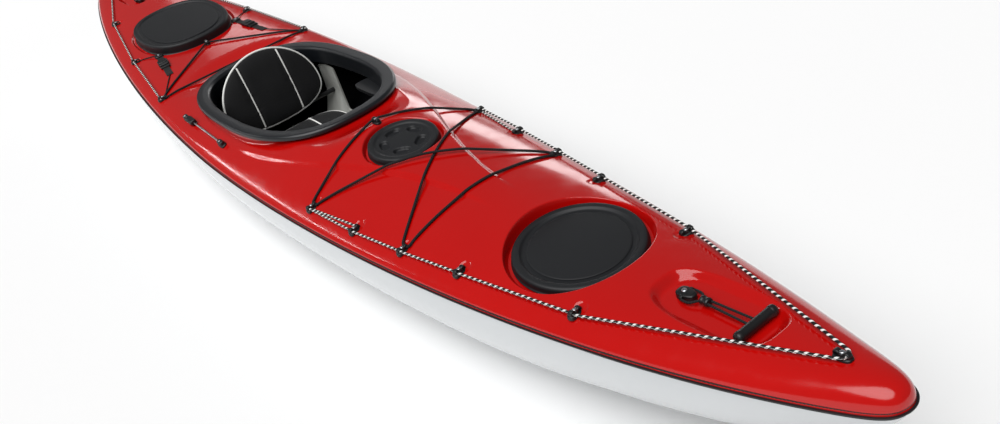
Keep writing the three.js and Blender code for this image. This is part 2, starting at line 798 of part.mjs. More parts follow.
function dayCover() {
  const { count, ring, long, wide, depth, thick, powerShare, sideCount } = gripPocket;
  let cover = solid(hatchCover(hatches.day, thick, thick));
  const top = hatches.day.rim + thick - hatchSkin.step;
  for (let i = 0; i < count; i++) {
    const turn = new THREE.Matrix4().makeRotationZ(((i + 0.5) / count) * 2 * Math.PI);
    const out = new THREE.Matrix4().makeTranslation(ring, 0, 0);
    const frame = hatchFrame(hatches.day).multiply(turn).multiply(out);
    cover = cover.subtract(solid(prism(outline(wide, long, powerShare, sideCount), top - depth, kayak.overrun, frame)));
  }
  return geometryOf(cover);
}

for (const [name, hatch] of Object.entries(hatches)) {
  addPiece(name + "_hatch_rim", hatchRim(hatch), finishes.blackSatin);
  const cover = name === "day" ? dayCover() : hatchCover(hatch, hatchSkin.cover, hatchSkin.crown);
  addPiece(name + "_hatch_cover", cover, finishes.rubber);
}

function dayPodCup() {
  const { depth, flange, wall, taper } = dayPod;
  const top = -kayak.wall - kayak.gap;
  const mouth = openingInset - kayak.gap;
  const profile = [
    [mouth + wall + taper, -depth],
    [mouth - wall, top - wall],
    [mouth - flange, top - wall],
    [mouth - flange, top],
    [mouth, top],
    [mouth, top - hatchSkin.collarDrop],
    [mouth + 2 * wall + taper, wall - depth],
  ];
  const { halfLength, halfWidth, powerShare } = hatches.day;
  return ringLoft(halfLength, halfWidth, powerShare, profile, hatchFrame(hatches.day), false);
}
addPiece("day_pod", dayPodCup(), finishes.blackSatin);

// A low saddle with eyes for cords. It lies along local x and stands on local z = 0, less its sink.
function saddle({ length, width, height, foot, shoulder, sink }, eyes) {
  const shape = new THREE.Shape();
  shape.moveTo(-width / 2, -sink);
  shape.lineTo(width / 2, -sink);
  shape.lineTo(width / 2, foot);
  shape.lineTo(shoulder, height);
  shape.lineTo(-shoulder, height);
  shape.lineTo(-width / 2, foot);
  for (const { across, up, radius } of eyes) {
    const round = outline(radius, radius, 2, cordCounts.eyeSides);
    const hole = round.map(([y, z]) => new THREE.Vector2(y + across, z + up));
    shape.holes.push(new THREE.Path(hole.reverse()));
  }
  const turn = new THREE.Matrix4().makeBasis(...["y", "z", "x"].map(unit));
  const geometry = new THREE.ExtrudeGeometry(shape, { depth: length, bevelEnabled: false });
  return geometry.translate(0, 0, -length / 2).applyMatrix4(turn);
}

function unit(axis) {
  return new THREE.Vector3(Number(axis === "x"), Number(axis === "y"), Number(axis === "z"));
}

// The deck fittings, with one eye for the deck line and one for the bungee.
const frames = {};
function addFitting(name, x, y, heading) {
  const frame = deckFrame(x, y, heading);
  const { eye, eyeHeight, eyeRadius } = fitting;
  const eyes = [-eye, eye].map((across) => ({ across, up: eyeHeight, radius: eyeRadius }));
  addPiece(name, seated(saddle(fitting, eyes).applyMatrix4(frame)), finishes.blackSatin);
  frames[name] = frame;
}

const rows = { bow: ["a", "b", "c", "d", "e"], stern: ["g", "h", "i"] };
for (const [side, sign] of Object.entries(sides)) {
  for (const row of Object.values(rows)) {
    const places = row.map((key) => {
      const { x, inboard } = fittings[key];
      return new THREE.Vector3(x, sign * (halfBeam(x) - inboard), 0);
    });
    row.forEach((key, i) => {
      const before = places[Math.max(0, i - 1)];
      const after = places[Math.min(places.length - 1, i + 1)];
      const heading = after.clone().sub(before).multiplyScalar(Math.sign(after.x - before.x));
      addFitting("deck_fitting_" + key + "_" + side, places[i].x, places[i].y, heading);
    });
  }
}
addFitting("deck_fitting_bow", endFittings.bow, 0, unit("y"));
addFitting("deck_fitting_stern", endFittings.stern, 0, unit("y"));
addFitting("bungee_anchor_bow", endFittings.bungee, 0, unit("y"));
addFitting("bungee_anchor_stern", endFittings.sternBungee, 0, unit("y"));

// A cord's pass through one eye of a fitting, from one end of the eye to the other.
function through(name, eyeSide, way) {
  const { eye, eyeHeight } = fitting;
  return [-way, way].map((end) =>
    new THREE.Vector3(end * cord.reach, eyeSide * eye, eyeHeight).applyMatrix4(frames[name]),
  );
}

// A stretch of taut cord: the shortest way over the deck between two points.
function overDeck(from, to, radius, steps, lift = 0) {
  const run = Array.from({ length: steps + 1 }, (_, i) => {
    const point = from.clone().lerp(to, i / steps);
    if (i === 0 || i === steps) return point;
    const middle = 1 - Math.abs((2 * i) / steps - 1);
    point.z = Math.max(point.z, onDeck(point.x, point.y).point.z + radius + cord.rest) + lift * middle;
    return point;
  });
  const place = (p) => Math.hypot(p.x - from.x, p.y - from.y);
  const above = (a, p, b) => p.z - a.z - ((b.z - a.z) * (place(p) - place(a))) / (place(b) - place(a));
  const taut = [];
  for (const point of run) {
    while (taut.length > 1 && above(taut[taut.length - 2], taut[taut.length - 1], point) <= 0) taut.pop();
    taut.push(point);
  }
  const kept = [0];
  for (let i = 2; i < taut.length; i++) {
    const from0 = kept[kept.length - 1];
    const skipped = taut.slice(from0 + 1, i);
    if (skipped.some((p) => above(taut[from0], p, taut[i]) > cord.slack)) kept.push(i - 1);
  }
  return kept.slice(1).map((i) => taut[i]);
}

function stringUp(passes, radius, steps, lifts = []) {
  return passes.flatMap((pass, i) => {
    if (i === 0) return pass;
    const last = passes[i - 1];
    return [...overDeck(last[last.length - 1], pass[0], radius, steps, lifts[i]), ...pass];
  });
}

function deckLine(row, end, way) {
  const out = row.map((key) => through("deck_fitting_" + key + "_starboard", -1, way));
  const back = row.map((key) => through("deck_fitting_" + key + "_port", 1, -way)).reverse();
  return stringUp([...out, through("deck_fitting_" + end, -way, 1), ...back], cord.line, cordCounts.spanSteps);
}
addPiece("bow_deck_line", tube(deckLine(rows.bow, "bow", 1), cord.line), finishes.line);
addPiece("stern_deck_line", tube(deckLine(rows.stern, "stern", -1), cord.line), finishes.line);

// The bungees are loops whose two ends meet inside the fitting on the centreline.
function bungee(anchorName, eyeSide, passes, lifts) {
  const [starboardEnd, portEnd] = through(anchorName, eyeSide, 1);
  const middle = starboardEnd.clone().lerp(portEnd, 0.5);
  const meet = new THREE.Vector3(0, cord.rest / 2, 0);
  const first = [middle.clone().sub(meet), starboardEnd];
  const last = [portEnd, middle.clone().add(meet)];
  return tube(stringUp([first, ...passes, last], cord.bungee, cordCounts.longSpanSteps, lifts), cord.bungee);
}
const bowPasses = [
  through("deck_fitting_a_starboard", 1, 1),
  through("deck_fitting_c_port", -1, 1),
  through("deck_fitting_c_starboard", 1, -1),
  through("deck_fitting_a_port", -1, -1),
];
const crossing = 2 * cord.bungee + cord.rest;
const bowLifts = [0, 0, crossing, 0, 0, 0];
addPiece("bow_bungee", bungee("bungee_anchor_bow", 1, bowPasses, bowLifts), finishes.blackSatin);
const sternPasses = [through("deck_fitting_g_starboard", 1, 1), through("deck_fitting_g_port", -1, -1)];
addPiece("stern_bungee", bungee("bungee_anchor_stern", -1, sternPasses, []), finishes.blackSatin);

// Grab toggles in their troughs.
for (const [end, x] of Object.entries(troughs)) {
  const way = end === "bow" ? 1 : -1;
  const frame = troughFrame(x);
  const anchorX = way * (anchor.fromEnd - toggle.trough / 2);
  const handleX = way * (toggle.trough / 2 - handle.fromEnd);
  const eyes = [{ across: 0, up: anchor.eyeHeight, radius: anchor.eyeRadius }];
  const quarter = new THREE.Matrix4().makeRotationZ(Math.PI / 2);
  const place = new THREE.Matrix4().makeTranslation(anchorX, 0, 0).multiply(quarter);
  addPiece(end + "_toggle_anchor", saddle(anchor, eyes).applyMatrix4(place).applyMatrix4(frame), finishes.blackSatin);

  const high = handle.radius + handle.lift;
  const grip = new THREE.CylinderGeometry(handle.radius, handle.radius, handle.length, turnedCounts.handle);
  grip.translate(handleX, 0, high);
  let body = solid(grip);
  for (const y of [-toggleCord.spread, toggleCord.spread]) {
    const bore = new THREE.CylinderGeometry(handle.bore, handle.bore, handle.length, turnedCounts.bore);
    bore.rotateZ(Math.PI / 2);
    body = body.subtract(solid(bore.translate(handleX - (way * handle.length) / 2, y, high)));
  }
  addPiece(end + "_toggle_handle", geometryOf(body).applyMatrix4(frame), finishes.blackSatin);

  const lockX = anchorX + way * (anchor.width / 2 + cordLock.length + cordLock.fromAnchor);
  const half = [
    [anchorX, anchor.length / 2 + toggleCord.turn, anchor.eyeHeight],
    [anchorX + way * (anchor.width / 2 + toggleCord.turn), anchor.length / 2 + toggleCord.turn, anchor.eyeHeight],
    [lockX - (way * cordLock.length) / 2, toggleCord.pinch, high],
    [lockX + (way * cordLock.length) / 2, toggleCord.pinch, high],
    [handleX - way * (handle.radius + toggleCord.turn), toggleCord.spread, high],
    [handleX - way * handle.lift, toggleCord.spread, high],
  ];
  const route = [...half.map(([px, py, pz]) => [px, -py, pz]).reverse(), ...half];
  const loop = tube(route.map((p) => new THREE.Vector3(...p)), toggleCord.radius);
  const { length, radius } = cordLock;
  const lock = new THREE.CylinderGeometry(radius, radius, length, turnedCounts.lock);
  lock.rotateZ(Math.PI / 2).translate(lockX, 0, high);
  addPiece(end + "_toggle_cord", geometryOf(solid(loop).add(solid(lock))).applyMatrix4(frame), finishes.line);
}

// The seat pan: a bucket whose sides rise towards the back.
function seatPan() {
  const { halfWidth, wall, floor, foot, footBevel } = seat;
  const base = kayak.wall + kayak.gap;
  const bench = seatShares.bench * halfWidth;
  const rings = seatShares.rings.map((share) => {
    const x = seat.back + (seat.front - seat.back) * share;
    const top = seat.frontSide + (seat.rearSide - seat.frontSide) * (1 - share) ** seatShares.rise;
    const knee = [halfWidth, floor + (top - floor) * seatShares.kneeHeight];
    const under = [
      [halfWidth, top],
      knee,
      [bench, floor - wall],
      [foot + footBevel, floor - wall],
      [foot, base],
    ];
    const over = [
      [halfWidth - wall, top],
      [knee[0] - wall, knee[1]],
      [bench - wall, floor],
    ];
    const both = (half) => [...half, ...half.map(([y, z]) => [-y, z]).reverse()];
    return [...both(under), ...both(over).reverse()].map(([y, z]) => new THREE.Vector3(x, y, z));
  });
  return loft(rings);
}
addPiece("seat_pan", seatPan(), finishes.greyPlastic);

// A stitched pad, cut into slices across its width. Each slice runs over the crowned face and back along the base.
function pad({ halfWidth, thick, edge, seam, seamDepth, seamWidth }, spanAt) {
  const inner = padShares.columns.map((share) => share * seam);
  const furrow = [seam - seamWidth, seam, seam + seamWidth];
  const outer = padShares.rim.map((share) => share * halfWidth);
  const middle = (seam + seamWidth + outer[0]) / 2;
  const half = [...inner, ...furrow, middle, ...outer];
  const slices = [...half.map((y) => -y).reverse(), 0, ...half];
  const rings = slices.map((y) => {
    const [low, high] = spanAt(y);
    const side = Math.sqrt(1 - (Math.abs(y) / halfWidth) ** padShares.sidePower);
    const groove = seamDepth * Math.max(0, 1 - Math.abs(Math.abs(y) - seam) / seamWidth);
    const face = padShares.rows.map((share) => {
      const crown = Math.sqrt(1 - (2 * share - 1) ** padShares.facePower);
      return [low + (high - low) * share, Math.max(edge * side, (thick - groove) * crown * side)];
    });
    return [[low, 0], [low, edge * side], ...face, [high, edge * side], [high, 0]].map(([s, d]) => [s, y, d]);
  });
  return rings.map((ring) => ring.map((p) => new THREE.Vector3(...p)));
}

const cushionFrame = new THREE.Matrix4().makeTranslation(0, 0, seat.floor + kayak.gap);
function seatCushion() {
  const corner = (y) => cushion.corner * (Math.abs(y) / cushion.halfWidth) ** padShares.sidePower;
  const rings = pad(cushion, (y) => [cushion.back + corner(y), cushion.front - 2 * corner(y)]);
  return loft(rings).applyMatrix4(cushionFrame);
}
addPiece("seat_cushion", seatCushion(), finishes.fabric);

// The backrest leans back. In its frame, local x runs up the rest and local z faces forward.
const lean = Math.atan(backShares.lean);
const backUp = new THREE.Vector3(-Math.sin(lean), 0, Math.cos(lean));
const backOut = new THREE.Vector3(Math.cos(lean), 0, Math.sin(lean));
const backFrameMatrix = new THREE.Matrix4()
  .makeBasis(backUp, unit("y").negate(), backOut)
  .setPosition(backrest.x, 0, backrest.bottom);
const slope = 1 / Math.cos(lean);

function backSpan(y, margin = 0) {
  const share = Math.min(1, Math.abs(y) / (backrest.halfWidth - margin));
  const waist = (backrest.widest - backrest.bottom) * slope;
  const over = ((backrest.top - backrest.widest) * slope - margin) * (1 - share ** backShares.topPower) ** 0.5;
  const under = (waist - margin) * (1 - share ** backShares.bottomPower) ** (1 / backShares.bottomPower);
  return [waist - under, waist + over];
}

function backCushion() {
  const lifted = new THREE.Matrix4().makeTranslation(0, 0, -backrest.thick);
  return loft(pad(backrest, (y) => backSpan(y))).applyMatrix4(lifted).applyMatrix4(backFrameMatrix);
}
addPiece("backrest_cushion", backCushion(), finishes.fabric);

function backPlate() {
  const { plate, margin, stem, barRadius, barRise, barFit } = backFrame;
  const reach = backrest.halfWidth - margin;
  const count = roundCount / 2;
  const ys = Array.from({ length: count - 1 }, (_, i) => -reach * Math.cos(((i + 1) / count) * Math.PI));
  const top = ys.map((y) => [backSpan(y, margin)[1], y]);
  const bottom = ys.map((y) => [backSpan(y, margin)[0], y]).reverse();
  const back = -backrest.thick - kayak.gap;
  const shell = prism([...bottom.reverse(), ...top.reverse()], back - plate, back, backFrameMatrix);
  const span = 2 * (seat.halfWidth - seat.wall - barFit);
  const bar = new THREE.CylinderGeometry(barRadius, barRadius, span, turnedCounts.bar);
  bar.translate(barRise, 0, back - barRadius);
  const tongue = block(barRise, stem, -backrest.seam, backrest.seam, back - plate, back);
  const joined = solid(shell).add(solid(bar.applyMatrix4(backFrameMatrix)));
  return geometryOf(joined.add(solid(tongue.applyMatrix4(backFrameMatrix))));
}
addPiece("backrest_frame", backPlate(), finishes.blackSatin);

// Thigh braces hang from the lower edge of the coaming's wall.
for (const [side, sign] of Object.entries(sides)) {
  const { fromFront, fromSide, length, width, thick, powerShare, sideCount } = thighBrace;
  const [x, y] = [coaming.halfLength - fromFront, sign * (coaming.halfWidth - fromSide)];
  const top = -coaming.wallDrop - kayak.gap;
  const plate = outline(length / 2, width / 2, powerShare, sideCount).map(([px, py]) => [px + x, py + y]);
  const frame = tilted(coaming.x, coamingHeight, coamingShares.pitch);
  addPiece("thigh_brace_" + side, prism(plate, top - thick, top, frame), finishes.blackSatin);
}

// Foot rails lie along the hull's sides on two feet, and each carries a pedal.
function hullSide(x, z, inset) {
  const power = sectionPower(x, inset);
  const floor = keelHeight(x) + inset;
  const share = Math.max(0, (seamHeight(x) - z) / (seamHeight(x) - floor));
  return halfBeam(x, inset) * (1 - share ** power) ** (1 / power);
}

for (const [side, sign] of Object.entries(sides)) {
  const away = footRail.standOff + footRail.thick / 2;
  const ends = [footRail.aft, footRail.fore].map(
    (x) => new THREE.Vector3(x, sign * (hullSide(x, footRail.z, kayak.wall) - away), footRail.z),
  );
  const run = ends[1].clone().sub(ends[0]).normalize();
  const out = new THREE.Vector3(0, 0, 1).cross(run).multiplyScalar(sign);
  const frameAt = (share) => {
    const at = ends[0].clone().lerp(ends[1], share);
    return new THREE.Matrix4().makeBasis(run, out.clone().multiplyScalar(sign), unit("z")).setPosition(at);
  };
  const span = ends[0].distanceTo(ends[1]);
  const { height, thick, foot } = footRail;
  const bar = block(-span / 2, span / 2, -thick / 2, thick / 2, -height / 2, height / 2).applyMatrix4(frameAt(0.5));
  let rail = solid(bar);
  for (const share of [0, 1]) {
    const x0 = share ? -foot : 0;
    const reach = [0, sign * kayak.overrun].sort((a, b) => a - b);
    const pad = block(x0, x0 + foot, reach[0], reach[1], -height / 2, height / 2).applyMatrix4(frameAt(share));
    rail = rail.add(solid(pad).intersect(inside));
  }
  addPiece("foot_rail_" + side, geometryOf(rail), finishes.blackSatin);

  const { clipWall, clipLength, fit, lip } = pedal;
  const inner = thick / 2 + fit;
  const high = height / 2 + fit;
  const clip = [
    [lip - inner, high],
    [-inner, high],
    [-inner, -high],
    [lip - inner, -high],
    [lip - inner, -high - clipWall],
    [-inner - clipWall, -high - clipWall],
    [-inner - clipWall, high + clipWall],
    [lip - inner, high + clipWall],
  ];
  const clipShape = new THREE.Shape(clip.map(([y, z]) => new THREE.Vector2(sign * y, z)));
  const turn = new THREE.Matrix4().makeBasis(unit("y"), unit("z"), unit("x"));
  const slide = new THREE.ExtrudeGeometry(clipShape, { depth: clipLength, bevelEnabled: false });
  slide.translate(0, 0, -clipLength / 2).applyMatrix4(turn);
  const plateY = [-sign * (inner + clipWall / 2), -sign * (inner + clipWall / 2 + pedal.width)].sort((a, b) => a - b);
  const plate = block(-pedal.thick / 2, pedal.thick / 2, plateY[0], plateY[1], -pedal.height / 2, pedal.height / 2);
  const at = frameAt(pedal.ahead / (footRail.fore - footRail.aft));
  const both = solid(slide).add(solid(plate));
  addPiece("foot_pedal_" + side, geometryOf(both).applyMatrix4(at), finishes.blackSatin);
}

// The skeg box, its pin and its blade.
const bladeHalf = skeg.thick / 2;
function skegBoxShell() {
  const { wall, clearance, front, top, foot, footThick } = skegBox;
  const [aft, fore] = [skeg.pivotX - skeg.long - clearance, skeg.pivotX + front];
  const half = bladeHalf + clearance;
  const roof = skeg.pivotZ + top;
  const outer = block(aft - wall, fore + wall, -half - wall, half + wall, -kayak.overrun, roof);
  const inner = block(aft, fore, -half, half, -2 * kayak.overrun, roof - wall);
  const sole = [aft - wall - foot, fore + wall + foot].map((x) => [x, keelHeight(x) + kayak.wall + footThick]);
  const skirt = [
    [sole[0][0], -kayak.overrun],
    [sole[1][0], -kayak.overrun],
    sole[1],
    sole[0],
  ];
  const flange = new THREE.ExtrudeGeometry(
    new THREE.Shape(skirt.map(([x, z]) => new THREE.Vector2(x, z))),
    { depth: 2 * (half + wall + foot), bevelEnabled: false },
  );
  flange.translate(0, 0, -half - wall - foot).rotateX(Math.PI / 2);
  const pin = new THREE.CylinderGeometry(skeg.pin, skeg.pin, 2 * half + wall, turnedCounts.pin);
  pin.translate(skeg.pivotX, 0, skeg.pivotZ);
  const shell = solid(outer).add(solid(flange)).intersect(inside).subtract(solid(inner));
  return geometryOf(shell.add(solid(pin)));
}
addPiece("skeg_box", skegBoxShell(), finishes.blackSatin);

function skegBlade() {
  const shape = new THREE.Shape(skegShares.map(([x, z]) => new THREE.Vector2(x * skeg.long, z * skeg.deep)));
  const round = outline(skeg.pin + kayak.gap, skeg.pin + kayak.gap, 2, turnedCounts.pin);
  const bore = round.map(([x, z]) => new THREE.Vector2(x, z));
  shape.holes.push(new THREE.Path(bore.reverse()));
  const geometry = new THREE.ExtrudeGeometry(shape, { depth: skeg.thick, bevelEnabled: false });
  return geometry.translate(0, 0, -bladeHalf).rotateX(Math.PI / 2).translate(skeg.pivotX, 0, skeg.pivotZ);
}
addPiece("skeg_blade", skegBlade(), finishes.blackSatin);
addPiece("skeg_cable", tube(cableRoute(), cable.radius), finishes.blackSatin);

// The slider on the starboard side deck: two posts with a rod between them, and a knob on the rod.
const sliderEnds = [slider.aft, slider.fore].map((x) => onDeck(x, -slider.y));
function sliderFrame() {
  const run = sliderEnds[1].point.clone().sub(sliderEnds[0].point);
  const normal = sliderEnds[0].normal.clone().add(sliderEnds[1].normal);
  const across = new THREE.Vector3().crossVectors(normal, run).normalize();
  const forward = run.clone().normalize();
  const up = new THREE.Vector3().crossVectors(forward, across);
  return new THREE.Matrix4().makeBasis(forward, across, up).setPosition(sliderEnds[0].point);
}
const sliderRun = sliderEnds[1].point.distanceTo(sliderEnds[0].point);

function sliderTrack() {
  const { post, postWidth, height, rod, rodHeight } = slider;
  const posts = [0, sliderRun - post].map((x) =>
    solid(block(x, x + post, -postWidth / 2, postWidth / 2, -height, height).applyMatrix4(sliderFrame())),
  );
  const bar = new THREE.CylinderGeometry(rod, rod, sliderRun - post, turnedCounts.rod);
  bar.rotateZ(Math.PI / 2).translate(sliderRun / 2, 0, rodHeight).applyMatrix4(sliderFrame());
  return geometryOf(posts[0].add(posts[1]).subtract(deckSeat).add(solid(bar)));
}
addPiece("skeg_slider_track", sliderTrack(), finishes.steel);

function sliderKnob() {
  const { from, length, width, crown, height, shoulder, fit, lift } = knob;
  const shape = new THREE.Shape();
  shape.moveTo(-width / 2, lift);
  shape.lineTo(width / 2, lift);
  shape.lineTo(width / 2, shoulder);
  shape.lineTo(crown / 2, height);
  shape.lineTo(-crown / 2, height);
  shape.lineTo(-width / 2, shoulder);
  const bore = outline(slider.rod + fit, slider.rod + fit, 2, turnedCounts.rod);
  shape.holes.push(new THREE.Path(bore.map(([y, z]) => new THREE.Vector2(y, z + slider.rodHeight)).reverse()));
  const turn = new THREE.Matrix4().makeBasis(unit("y"), unit("z"), unit("x"));
  const geometry = new THREE.ExtrudeGeometry(shape, { depth: length, bevelEnabled: false }).applyMatrix4(turn);
  return geometry.translate(from - length / 2, 0, 0).applyMatrix4(sliderFrame());
}
addPiece("skeg_knob", sliderKnob(), finishes.blackSatin);

// Webbing straps with buckles at the front corners of the stern hatch.
for (const [side, sign] of Object.entries(sides)) {
  const from = new THREE.Vector3(strap.hookX, sign * strap.hookY, 0);
  const to = new THREE.Vector3(strap.tailX, sign * strap.tailY, 0);
  const run = to.clone().sub(from);
  const middle = from.clone().lerp(to, 0.5);
  const long = run.length() / 2;
  const frame = deckFrame(middle.x, middle.y, run);
  const webbing = block(-long, long, -strap.width / 2, strap.width / 2, -strap.width, strap.thick);
  const at = long * (2 * buckle.share - 1);
  const { length, width, height } = buckle;
  const body = block(at - length / 2, at + length / 2, -width / 2, width / 2, -height, height);
  const both = solid(webbing.applyMatrix4(frame)).add(solid(body.applyMatrix4(frame)));
  addPiece("hatch_strap_" + side, geometryOf(both.subtract(deckSeat)), finishes.blackSatin);
}

export default boat;
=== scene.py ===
import math

import bmesh
import bpy
import numpy as np
from mathutils import Matrix, Vector
from mathutils.geometry import delaunay_2d_cdt


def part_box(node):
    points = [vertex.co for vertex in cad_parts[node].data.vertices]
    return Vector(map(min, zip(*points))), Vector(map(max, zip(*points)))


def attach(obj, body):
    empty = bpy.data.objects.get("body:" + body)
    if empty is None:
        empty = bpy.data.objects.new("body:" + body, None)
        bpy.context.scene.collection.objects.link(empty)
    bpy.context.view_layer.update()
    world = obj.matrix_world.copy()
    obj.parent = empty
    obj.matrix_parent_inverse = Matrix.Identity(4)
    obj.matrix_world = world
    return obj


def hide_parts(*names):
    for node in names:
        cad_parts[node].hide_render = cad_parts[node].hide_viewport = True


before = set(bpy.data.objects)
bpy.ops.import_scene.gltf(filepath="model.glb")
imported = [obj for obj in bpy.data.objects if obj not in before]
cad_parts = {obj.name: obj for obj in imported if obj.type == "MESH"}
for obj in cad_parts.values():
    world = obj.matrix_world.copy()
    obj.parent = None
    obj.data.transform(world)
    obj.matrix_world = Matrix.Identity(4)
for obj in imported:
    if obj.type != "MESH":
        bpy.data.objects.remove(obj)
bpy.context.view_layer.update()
scene = bpy.context.scene
print("frame loaded:", len(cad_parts), "nodes")

# Lengths of the boat are in millimetres, and meshes are turned to metres when they are made.
mm = 0.001


# Camera, in metres: fitted to the photograph, with a 34 mm lens on a 36 mm sensor.
camera = {
    "lens": 33.97,
    "sensor": 36.0,
    "place": (2.3102, -0.7746, 1.3602),
    "right": (0.5956, 0.7726, -0.2199),
    "up": (-0.3482, 0.4950, 0.7961),
    "back": (0.7239, -0.3976, 0.5639),
}


def addCamera():
    data = bpy.data.cameras.new("camera")
    data.lens = camera["lens"]
    data.sensor_width = camera["sensor"]
    data.clip_start = 0.05
    data.clip_end = 1000
    eye = bpy.data.objects.new("camera", data)
    turn = Matrix([camera["right"], camera["up"], camera["back"]]).transposed()
    eye.matrix_world = Matrix.Translation(camera["place"]) @ turn.to_4x4()
    scene.collection.objects.link(eye)
    scene.camera = eye


addCamera()


# Nodes and colours. A link may name a node, which then stands for its first output.
def linear(hexColour):
    values = [int(hexColour[i:i + 2], 16) / 255 for i in (1, 3, 5)]
    return [v / 12.92 if v <= 0.04045 else ((v + 0.055) / 1.055) ** 2.4 for v in values] + [1.0]


def addNode(tree, kind, settings=None, links=None):
    node = tree.nodes.new("ShaderNode" + kind)
    for key, value in (settings or {}).items():
        if isinstance(key, str) and hasattr(node, key):
            setattr(node, key, value)
        else:
            node.inputs[key].default_value = value
    for key, source in (links or {}).items():
        tree.links.new(source.outputs[0] if isinstance(source, bpy.types.Node) else source, node.inputs[key])
    return node


def perMetre(size):
    return 1 / (size * mm)


def startMaterial(name, colour, settings):
    material = bpy.data.materials.new(name)
    material.use_nodes = True
    tree = material.node_tree
    tree.nodes.clear()
    shader = addNode(tree, "BsdfPrincipled", {"Base Color": linear(colour), **settings})
    addNode(tree, "OutputMaterial", links={"Surface": shader})
    place = addNode(tree, "TexCoord").outputs["Object"]
    return material, tree, shader, place


# Ends a material: a mask blends its two colours, and heights raise its surface, the slower ones first.
# Each height has a strength and a depth in millimetres.
def dress(tree, shader, colours, mask, heights):
    first, second = (linear(colour) for colour in colours)
    shade = addNode(tree, "Mix", {"data_type": "RGBA", 6: first, 7: second}, {0: mask})
    tree.links.new(shade.outputs[2], shader.inputs["Base Color"])
    normal = {}
    for height, strength, depth in heights:
        settings = {"Strength": strength, "Distance": depth * mm}
        bump = addNode(tree, "Bump", settings, {"Height": height, **normal})
        normal = {"Normal": bump}
    tree.links.new(bump.outputs[0], shader.inputs["Normal"])


# Acrylic-capped ABS, thermoformed: a deep clear gloss with the slow waves of a vacuum-drawn sheet.
sheet = {"wave": 140, "waveDepth": 1.5, "waveStrength": 0.12, "peel": 3.5, "peelDepth": 0.2,
         "peelStrength": 0.015, "cloud": 300, "dust": 40}


def glossSheet(name, colour, dark):
    material, tree, shader, place = startMaterial(
        name, colour, {"Roughness": 0.13, "IOR": 1.49, "Coat Weight": 0.1, "Coat Roughness": 0.03}
    )
    wave, peel, cloud, dust = (
        addNode(tree, "TexNoise", {"Scale": perMetre(sheet[key]), "Detail": detail}, {"Vector": place})
        for key, detail in (("wave", 1.0), ("peel", 1.0), ("cloud", 3.0), ("dust", 5.0))
    )
    dress(tree, shader, (colour, dark), cloud, [(wave, sheet["waveStrength"], sheet["waveDepth"]),
                                                (peel, sheet["peelStrength"], sheet["peelDepth"])])
    rough = addNode(tree, "MapRange", {"From Min": 0.35, "From Max": 0.7, "To Min": 0.09, "To Max": 0.18},
                    {"Value": dust})
    tree.links.new(rough.outputs[0], shader.inputs["Roughness"])
    return material


# Moulded plastics and rubber: a fine spark-eroded grain, and edges worn a little paler.
moulding = {"cloud": 60, "cloudShare": 0.5, "grainStrength": 0.5}


def moulded(name, colour, pale, roughness, grain, depth):
    material, tree, shader, place = startMaterial(name, colour, {"Roughness": roughness, "IOR": 1.5})
    pits = addNode(tree, "TexNoise", {"Scale": perMetre(grain), "Detail": 3.0}, {"Vector": place})
    cloud = addNode(tree, "TexNoise", {"Scale": perMetre(moulding["cloud"]), "Detail": 4.0}, {"Vector": place})
    worn = addNode(tree, "MapRange", {"From Min": 0.52, "From Max": 0.62, "To Min": 0.0, "To Max": 0.5},
                   {"Value": addNode(tree, "NewGeometry").outputs["Pointiness"]})
    mask = addNode(tree, "Math", {"operation": "MULTIPLY_ADD", "use_clamp": True, 1: moulding["cloudShare"]},
                   {0: cloud, 2: worn})
    dress(tree, shader, (colour, pale), mask, [(pits, moulding["grainStrength"], depth)])
    return material


# Woven polyester: a plain weave, drawn as coarse as shows. A wave texture of scale 1 repeats every pi / 10.
weave = {"waveRepeat": math.pi / 10, "waver": 0.6, "strength": 0.5, "depth": 0.4, "fade": 45,
         "clothShare": 0.25}


def woven(name, colour, pale, thread, roughness):
    material, tree, shader, place = startMaterial(
        name, colour, {"Roughness": roughness, "IOR": 1.46, "Sheen Weight": 0.08, "Sheen Roughness": 0.45}
    )
    scale = perMetre(thread) * weave["waveRepeat"]
    warp, weft, rise = (
        addNode(tree, "TexWave", {"bands_direction": way, "Scale": scale, "Distortion": weave["waver"]},
                {"Vector": place})
        for way in "XYZ"
    )
    cloth = addNode(tree, "Math", {"operation": "MULTIPLY_ADD"},
                    {0: warp.outputs[1], 1: weft.outputs[1], 2: rise.outputs[1]})
    fade = addNode(tree, "TexNoise", {"Scale": perMetre(weave["fade"]), "Detail": 5.0}, {"Vector": place})
    tone = addNode(tree, "Math", {"operation": "MULTIPLY_ADD", 1: weave["clothShare"]}, {0: cloth, 2: fade})
    thin = addNode(tree, "MapRange", {"From Min": 0.4, "From Max": 1.3, "To Min": 0.0, "To Max": 0.8},
                   {"Value": tone})
    dress(tree, shader, (colour, pale), thin, [(cloth, weave["strength"], weave["depth"])])
    return material


# Braided cord, read from the length and turn that each cord's mesh carries. Its flecks are strands
# of another colour.
braid = {"strength": 0.6, "depth": 0.5, "ridgesPerPitch": 2}


